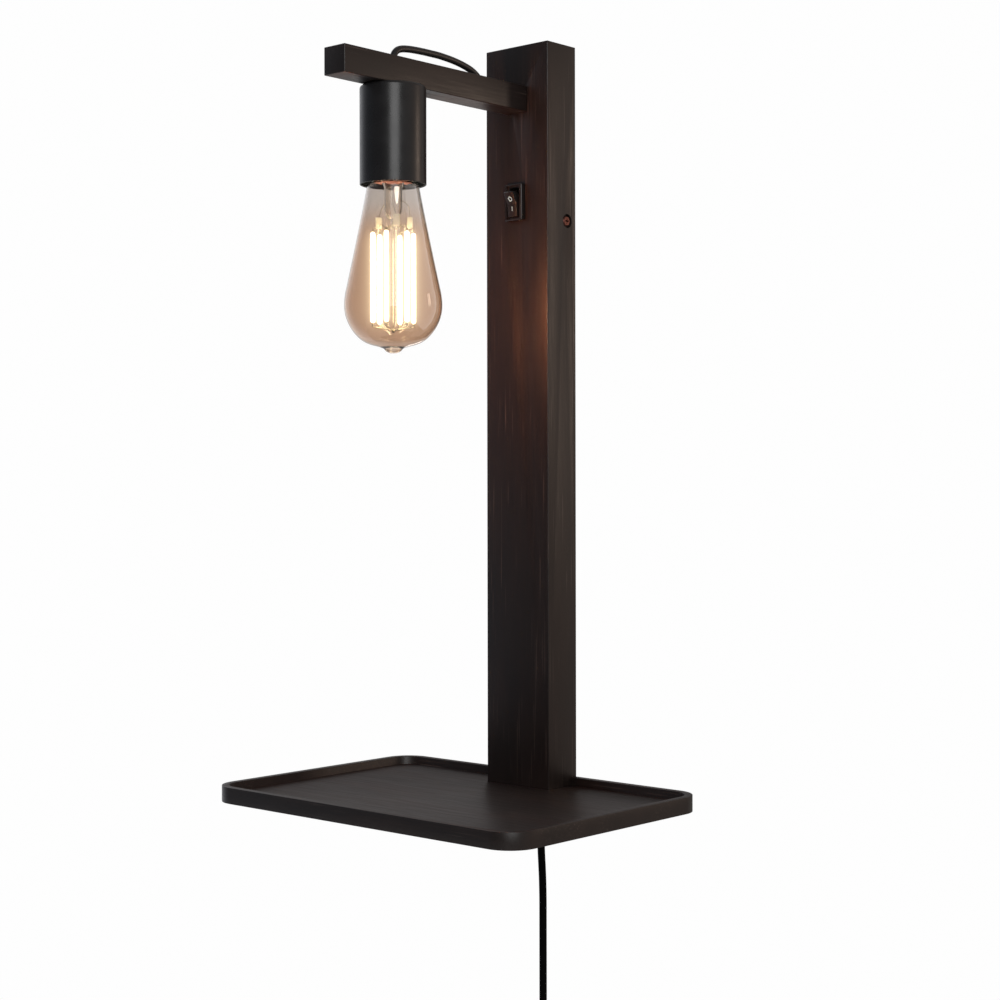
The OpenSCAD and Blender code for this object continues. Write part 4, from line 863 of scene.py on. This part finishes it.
def sideways(degrees):
    """The level direction across the one that points away from the axis."""
    return (-sine(degrees), cosine(degrees), 0)


def add_filaments():
    bm = bmesh.new()
    for a, low, top in filament_ends():
        add_pill(bm, low, top, FILAMENT_D / 2, FILAMENT_D / 2, across=sideways(a))
    link(mesh_object("bulb_filament_rods", bm, 60), filament_glow, "bulb",
        ("bulb_filaments",))


EXHAUST_R = 1.7
EXHAUST_TOP = 10.5
EXHAUST_LEN = 11.5
EXHAUST_OFF = Vector((1.8, 1.6, 0))
# How the drawn-off end of the tube narrows: shares of its length and of its radius
EXHAUST_TAPER = [(0, 0.7), (0.05, 1), (0.4, 0.85), (0.7, 0.6), (0.9, 0.35), (1, 0.1)]
WIRE_R = 0.4
THIN_WIRE_R = 0.22
# The hubs of the spokes: their half height, the share of it that is their radius, the lower
# one's place and the upper one's drop below the stem
HUB_R = 1.5
HUB_SLIM = 0.8
FOOT = FILAMENT_FOOT - 5
HUB_DROP = 1.6
# How far a lower spoke sags halfway, and how far below its filament it turns up
SPOKE_SAG = 1
SPOKE_RISE = 2.4
# The metal ends of a filament: half their width and thickness, and their reach into it and out
END_HALF_W, END_HALF_T = 0.9, 0.3
END_IN, END_OUT = 0.6, 2.2
# The cement's lower face below the cap's rim, half its thickness, and its reach past the neck
CEMENT_DROP = 1.1
CEMENT_HALF_T = 0.5
CEMENT_OUT = 0.3
# Each plate's place round the axis, the direction it faces and the middle of its pair of filaments
TABS = [(66, 275, 86), (190, 345, 206), (326, 326, 326)]
TAB_RADIUS = 11.7
TAB_HALF_W = 2.3
TAB_HALF_T = 0.25
TAB_LOW, TAB_HIGH = -16.3, -8.8
# The leads from a plate up into the stem and in to the upper hub: degrees round the axis from
# the plate, distance from the axis, and height above the plate's upper or lower end
LEAD_UP = [(0, TAB_RADIUS, -1), (-8, TAB_RADIUS - 0.6, 4), (-12, TAB_RADIUS - 2.5, 8),
    (-6, STEM_R - 1, 11)]
LEAD_IN = [(0, TAB_RADIUS, 1), (14, 8, 2.5), (60, 4.5, -1), (130, 3, 2), (200, 2, -0.5)]
# The leads from a plate down to its two filaments, on either side and above its lower end
LEAD_DOWN = [(16, TAB_RADIUS + 0.6, -0.6), (7, TAB_RADIUS, 0.8)]
LEAD_TOP = FILAMENT_TOP + 1.6


def on_ring(degrees, radius, z):
    """A place round the lamp's axis."""
    x, y = LAMP_AXIS
    return Vector((x + radius * cosine(degrees), y + radius * sine(degrees), z))


def add_wire(bm, route, radius):
    route = smooth_route(route, 4)
    add_tube(bm, route, [(radius, radius)] * len(route), 8, (0.3, 0.9, 0.2))


def add_wires():
    """The rod on the axis, the lower spokes, the filaments' metal ends and the upper leads."""
    bm = bmesh.new()
    foot = Vector((*LAMP_AXIS, FOOT))
    top_hub = Vector((*LAMP_AXIS, STEM_END - HUB_DROP))
    add_pill(bm, foot, top_hub + Vector((0, 0, 2)), WIRE_R, WIRE_R)
    hub_end = Vector((0, 0, HUB_R))
    for hub in (top_hub, foot):
        add_pill(bm, hub - hub_end, hub + hub_end, HUB_R * HUB_SLIM, HUB_R * HUB_SLIM, steps=6)
    for a, low, top in filament_ends():
        add_wire(bm, [foot, foot.lerp(low, 0.5) - Vector((0, 0, SPOKE_SAG)),
            low - Vector((0, 0, SPOKE_RISE)), low], WIRE_R)
        for end, up in ((low, -1), (top, 1)):
            add_pill(bm, end - Vector((0, 0, up * END_IN)), end + Vector((0, 0, up * END_OUT)),
                END_HALF_W, END_HALF_T, across=sideways(a))
    for a, _, middle in TABS:
        for side in (-1, 1):
            top = on_ring(middle + side * 180 / FILAMENTS, RING_RADIUS, LEAD_TOP)
            add_wire(bm, [top] + [on_ring(a + side * b, r, TAB_LOW + z) for b, r, z in LEAD_DOWN],
                THIN_WIRE_R)
        add_wire(bm, [on_ring(a + b, r, TAB_HIGH + z) for b, r, z in LEAD_UP], THIN_WIRE_R)
        add_wire(bm, [on_ring(a + b, r, TAB_LOW + z) for b, r, z in LEAD_IN] + [top_hub],
            THIN_WIRE_R)
    link(mesh_object("bulb_wire_frame", bm, 40), wire_metal, "bulb",
        ("bulb_wires",))


def add_tabs():
    """Three pale plates that join the filaments in pairs."""
    bm = bmesh.new()
    for a, facing, _ in TABS:
        add_pill(bm, on_ring(a, TAB_RADIUS, TAB_LOW), on_ring(a, TAB_RADIUS, TAB_HIGH),
            TAB_HALF_W, TAB_HALF_T, across=sideways(facing), steps=3)
    link(mesh_object("bulb_tabs", bm, 40), tab_ivory, "bulb")


def add_cement():
    """The cement that closes the neck at the cap's rim, seen from below through the glass. Its red
    colour is partly painted glow of the filaments.
    """
    low, half = CAP_RIM - CEMENT_DROP, CEMENT_HALF_T
    r = NECK_R + CEMENT_OUT
    bm = bmesh.new()
    add_lathe(bm, [(0, low), (r - half, low), (r, low + half), (r - half, low + 2 * half),
        (0, low + 2 * half)], LAMP_AXIS, 64, closed=False)
    link(mesh_object("cap_cement", bm), glow_tinted_cement, "bulb")


def add_exhaust_tube():
    """The drawn-off end of the tube inside the stem, which glows white as a painted highlight."""
    top = Vector((*LAMP_AXIS, EXHAUST_TOP)) + EXHAUST_OFF
    bm = bmesh.new()
    add_tube(bm, [top - Vector((0, 0, EXHAUST_LEN * part)) for part, _ in EXHAUST_TAPER],
        [(EXHAUST_R * wide, EXHAUST_R * wide) for _, wide in EXHAUST_TAPER], 16)
    link(mesh_object("exhaust_tube", bm, 60), exhaust_painted_highlight, "bulb")


add_glass()
add_stem()
add_filaments()
add_wires()
add_tabs()
add_cement()
add_exhaust_tube()


# ------------------------------------------------------------------ light

AIM = Vector((40, -100, -130))


def add_softbox(name, azimuth, elevation, distance, size, watts, colour=(1, 1, 1)):
    """A soft light that shines at the lamp from an azimuth counted from -Y towards +X."""
    data = bpy.data.lights.new(name, "AREA")
    data.shape = "RECTANGLE"
    data.size, data.size_y = [side * MM for side in size]
    data.energy = watts
    data.color = colour
    light = bpy.data.objects.new(name, data)
    level = cosine(elevation)
    away = Vector((level * sine(azimuth), -level * cosine(azimuth), sine(elevation)))
    light.location = (AIM + away * distance) * MM
    light.rotation_euler = away.to_track_quat("Z", "Y").to_euler()
    light.visible_camera = False
    light.visible_transmission = False
    scene.collection.objects.link(light)
    return light


def shine_only_on(light, *names):
    """Keeps a light off all pieces but the named ones."""
    lit = bpy.data.collections.new(light.name + "_lit")
    for name in names:
        lit.objects.link(bpy.data.objects[name])
    light.light_linking.receiver_collection = lit


def add_filament_light(watts, colour, matt_share):
    """The reddish share of the filaments' light that falls on the wooden pieces."""
    data = bpy.data.lights.new("filament_light", "POINT")
    data.shadow_soft_size = RING_RADIUS * MM
    data.energy = watts
    data.color = colour
    data.diffuse_factor = matt_share
    light = bpy.data.objects.new("filament_light", data)
    light.location = Vector((*LAMP_AXIS, (FILAMENT_TOP + FILAMENT_FOOT) / 2)) * MM
    light.visible_camera = False
    light.visible_transmission = False
    scene.collection.objects.link(light)
    shine_only_on(light, "post_stained", "arm_stained", "tray_stained", "switch_frame",
        "switch_key")


def add_world(seen, studio, see_through):
    """White where the camera sees it, and a studio of the given stops for all else.

    What is seen through glass turns from the studio's colours to white between two cosines
    of the angle to the main view.
    """
    world = bpy.data.worlds.new("studio")
    world.use_nodes = True
    tree = world.node_tree
    tree.nodes.clear()
    direction = tree.nodes.new("ShaderNodeTexCoord").outputs["Generated"]

    def combined(operation, a, b):
        made = tree.nodes.new("ShaderNodeMath")
        made.operation = operation
        tree.links.new(a, made.inputs[0])
        tree.links.new(b, made.inputs[1])
        return made.outputs[0]

    def background(colour):
        made = tree.nodes.new("ShaderNodeBackground")
        if isinstance(colour, tuple):
            made.inputs["Color"].default_value = (*colour, 1)
        else:
            tree.links.new(colour, made.inputs["Color"])
        return made.outputs[0]

    round_angle = tree.nodes.new("ShaderNodeTexGradient")
    round_angle.gradient_type = "RADIAL"
    tree.links.new(direction, round_angle.inputs["Vector"])
    ramp = tree.nodes.new("ShaderNodeValToRGB")
    ramp.color_ramp.interpolation = "EASE"
    elements = ramp.color_ramp.elements
    while len(elements) < len(studio):
        elements.new(0.5)
    for element, (azimuth, colour) in zip(elements, studio):
        element.position = (azimuth + 90) / 360
        element.color = (*colour, 1)
    tree.links.new(round_angle.outputs["Fac"], ramp.inputs["Fac"])

    ahead = tree.nodes.new("ShaderNodeVectorMath")
    ahead.operation = "DOT_PRODUCT"
    ahead.inputs[1].default_value = (-sine(CAMERA_YAW), cosine(CAMERA_YAW), 0)
    tree.links.new(direction, ahead.inputs[0])
    opening = tree.nodes.new("ShaderNodeMapRange")
    opening.interpolation_type = "SMOOTHSTEP"
    for name, value in zip(("From Min", "From Max"), see_through):
        opening.inputs[name].default_value = value
    tree.links.new(ahead.outputs["Value"], opening.inputs["Value"])
    path = tree.nodes.new("ShaderNodeLightPath")
    through = combined("MULTIPLY", path.outputs["Is Transmission Ray"], opening.outputs["Result"])
    bright = combined("MAXIMUM", path.outputs["Is Camera Ray"], through)
    mix = tree.nodes.new("ShaderNodeMixShader")
    tree.links.new(bright, mix.inputs[0])
    tree.links.new(background(ramp.outputs["Color"]), mix.inputs[1])
    tree.links.new(background(seen), mix.inputs[2])
    tree.links.new(mix.outputs[0], tree.nodes.new("ShaderNodeOutputWorld").inputs["Surface"])
    scene.world = world


def add_floor(z, size, centre):
    """A pale floor below the hanging cord, outside the main view."""
    bm = bmesh.new()
    bmesh.ops.create_grid(bm, x_segments=8, y_segments=8, size=size / 2 * MM)
    floor = mesh_object("floor", bm)
    floor.location = Vector((*centre, z)) * MM
    paint = Finish("floor_paint", (0.8, 0.8, 0.79), 0.6)
    paint.bump(paint.noise([0.2] * 3), 0.1, 0.3)
    floor.data.materials.append(paint.material)
    scene.collection.objects.link(floor)


def add_bloom(threshold, strength, size):
    """A faint halo round what is brighter than the threshold."""
    scene.use_nodes = True
    tree = scene.node_tree
    tree.nodes.clear()
    layers = tree.nodes.new("CompositorNodeRLayers")
    glare = tree.nodes.new("CompositorNodeGlare")
    glare.glare_type = "BLOOM"
    glare.inputs["Threshold"].default_value = threshold
    glare.inputs["Strength"].default_value = strength
    glare.inputs["Size"].default_value = size
    output = tree.nodes.new("CompositorNodeComposite")
    tree.links.new(layers.outputs["Image"], glare.inputs["Image"])
    tree.links.new(glare.outputs["Image"], output.inputs["Image"])


WHITE = (0.99, 0.99, 0.99)
SEE_THROUGH = (0.75, 0.85)
LIGHTS_AWAY = 1500
# The studio's colour at each azimuth, counted from -Y towards +X
STUDIO = [(-90, (0.75, 0.77, 0.82)), (-75, (0.42, 0.43, 0.47)), (-58, (0.18, 0.19, 0.22)),
    (-42, (0.135, 0.155, 0.18)), (-20, (0.11, 0.11, 0.12)), (0, (0.10, 0.10, 0.11)),
    (25, (0.16, 0.16, 0.16)), (70, (0.22, 0.22, 0.22)), (100, (0.34, 0.32, 0.31)),
    (124, (0.38, 0.31, 0.28)), (142, (0.28, 0.22, 0.19)), (169, (0.34, 0.31, 0.29)),
    (195, (0.24, 0.23, 0.23)), (222, (0.27, 0.26, 0.26)), (238, (0.50, 0.50, 0.51)),
    (250, (0.95, 0.96, 1.0)), (270, (0.75, 0.77, 0.82))]
scene.view_settings.view_transform = "Standard"
add_world(WHITE, STUDIO, SEE_THROUGH)
add_softbox("key", azimuth=48, elevation=16, distance=LIGHTS_AWAY, size=(760, 1200), watts=9)
add_softbox("side", azimuth=138, elevation=10, distance=LIGHTS_AWAY, size=(220, 460), watts=1.8,
    colour=(1.0, 0.76, 0.60))
add_softbox("low", azimuth=222, elevation=-14, distance=LIGHTS_AWAY, size=(420, 160), watts=0.5,
    colour=(1.0, 0.93, 0.88))
glass_light = add_softbox("glass_right", azimuth=132, elevation=0, distance=LIGHTS_AWAY,
    size=(2100, 2800), watts=30)
shine_only_on(glass_light, "bulb_envelope")
add_filament_light(watts=0.72, colour=(1.0, 0.27, 0.10), matt_share=0.15)
add_floor(z=-800, size=1400, centre=(0, -500))
add_bloom(threshold=1.1, strength=0.3, size=0.02)
for shadowless in ("bulb_envelope", "bulb_stem_tube", "bulb_filament_rods", "bulb_wire_frame",
        "bulb_tabs"):
    bpy.data.objects[shadowless].visible_shadow = False
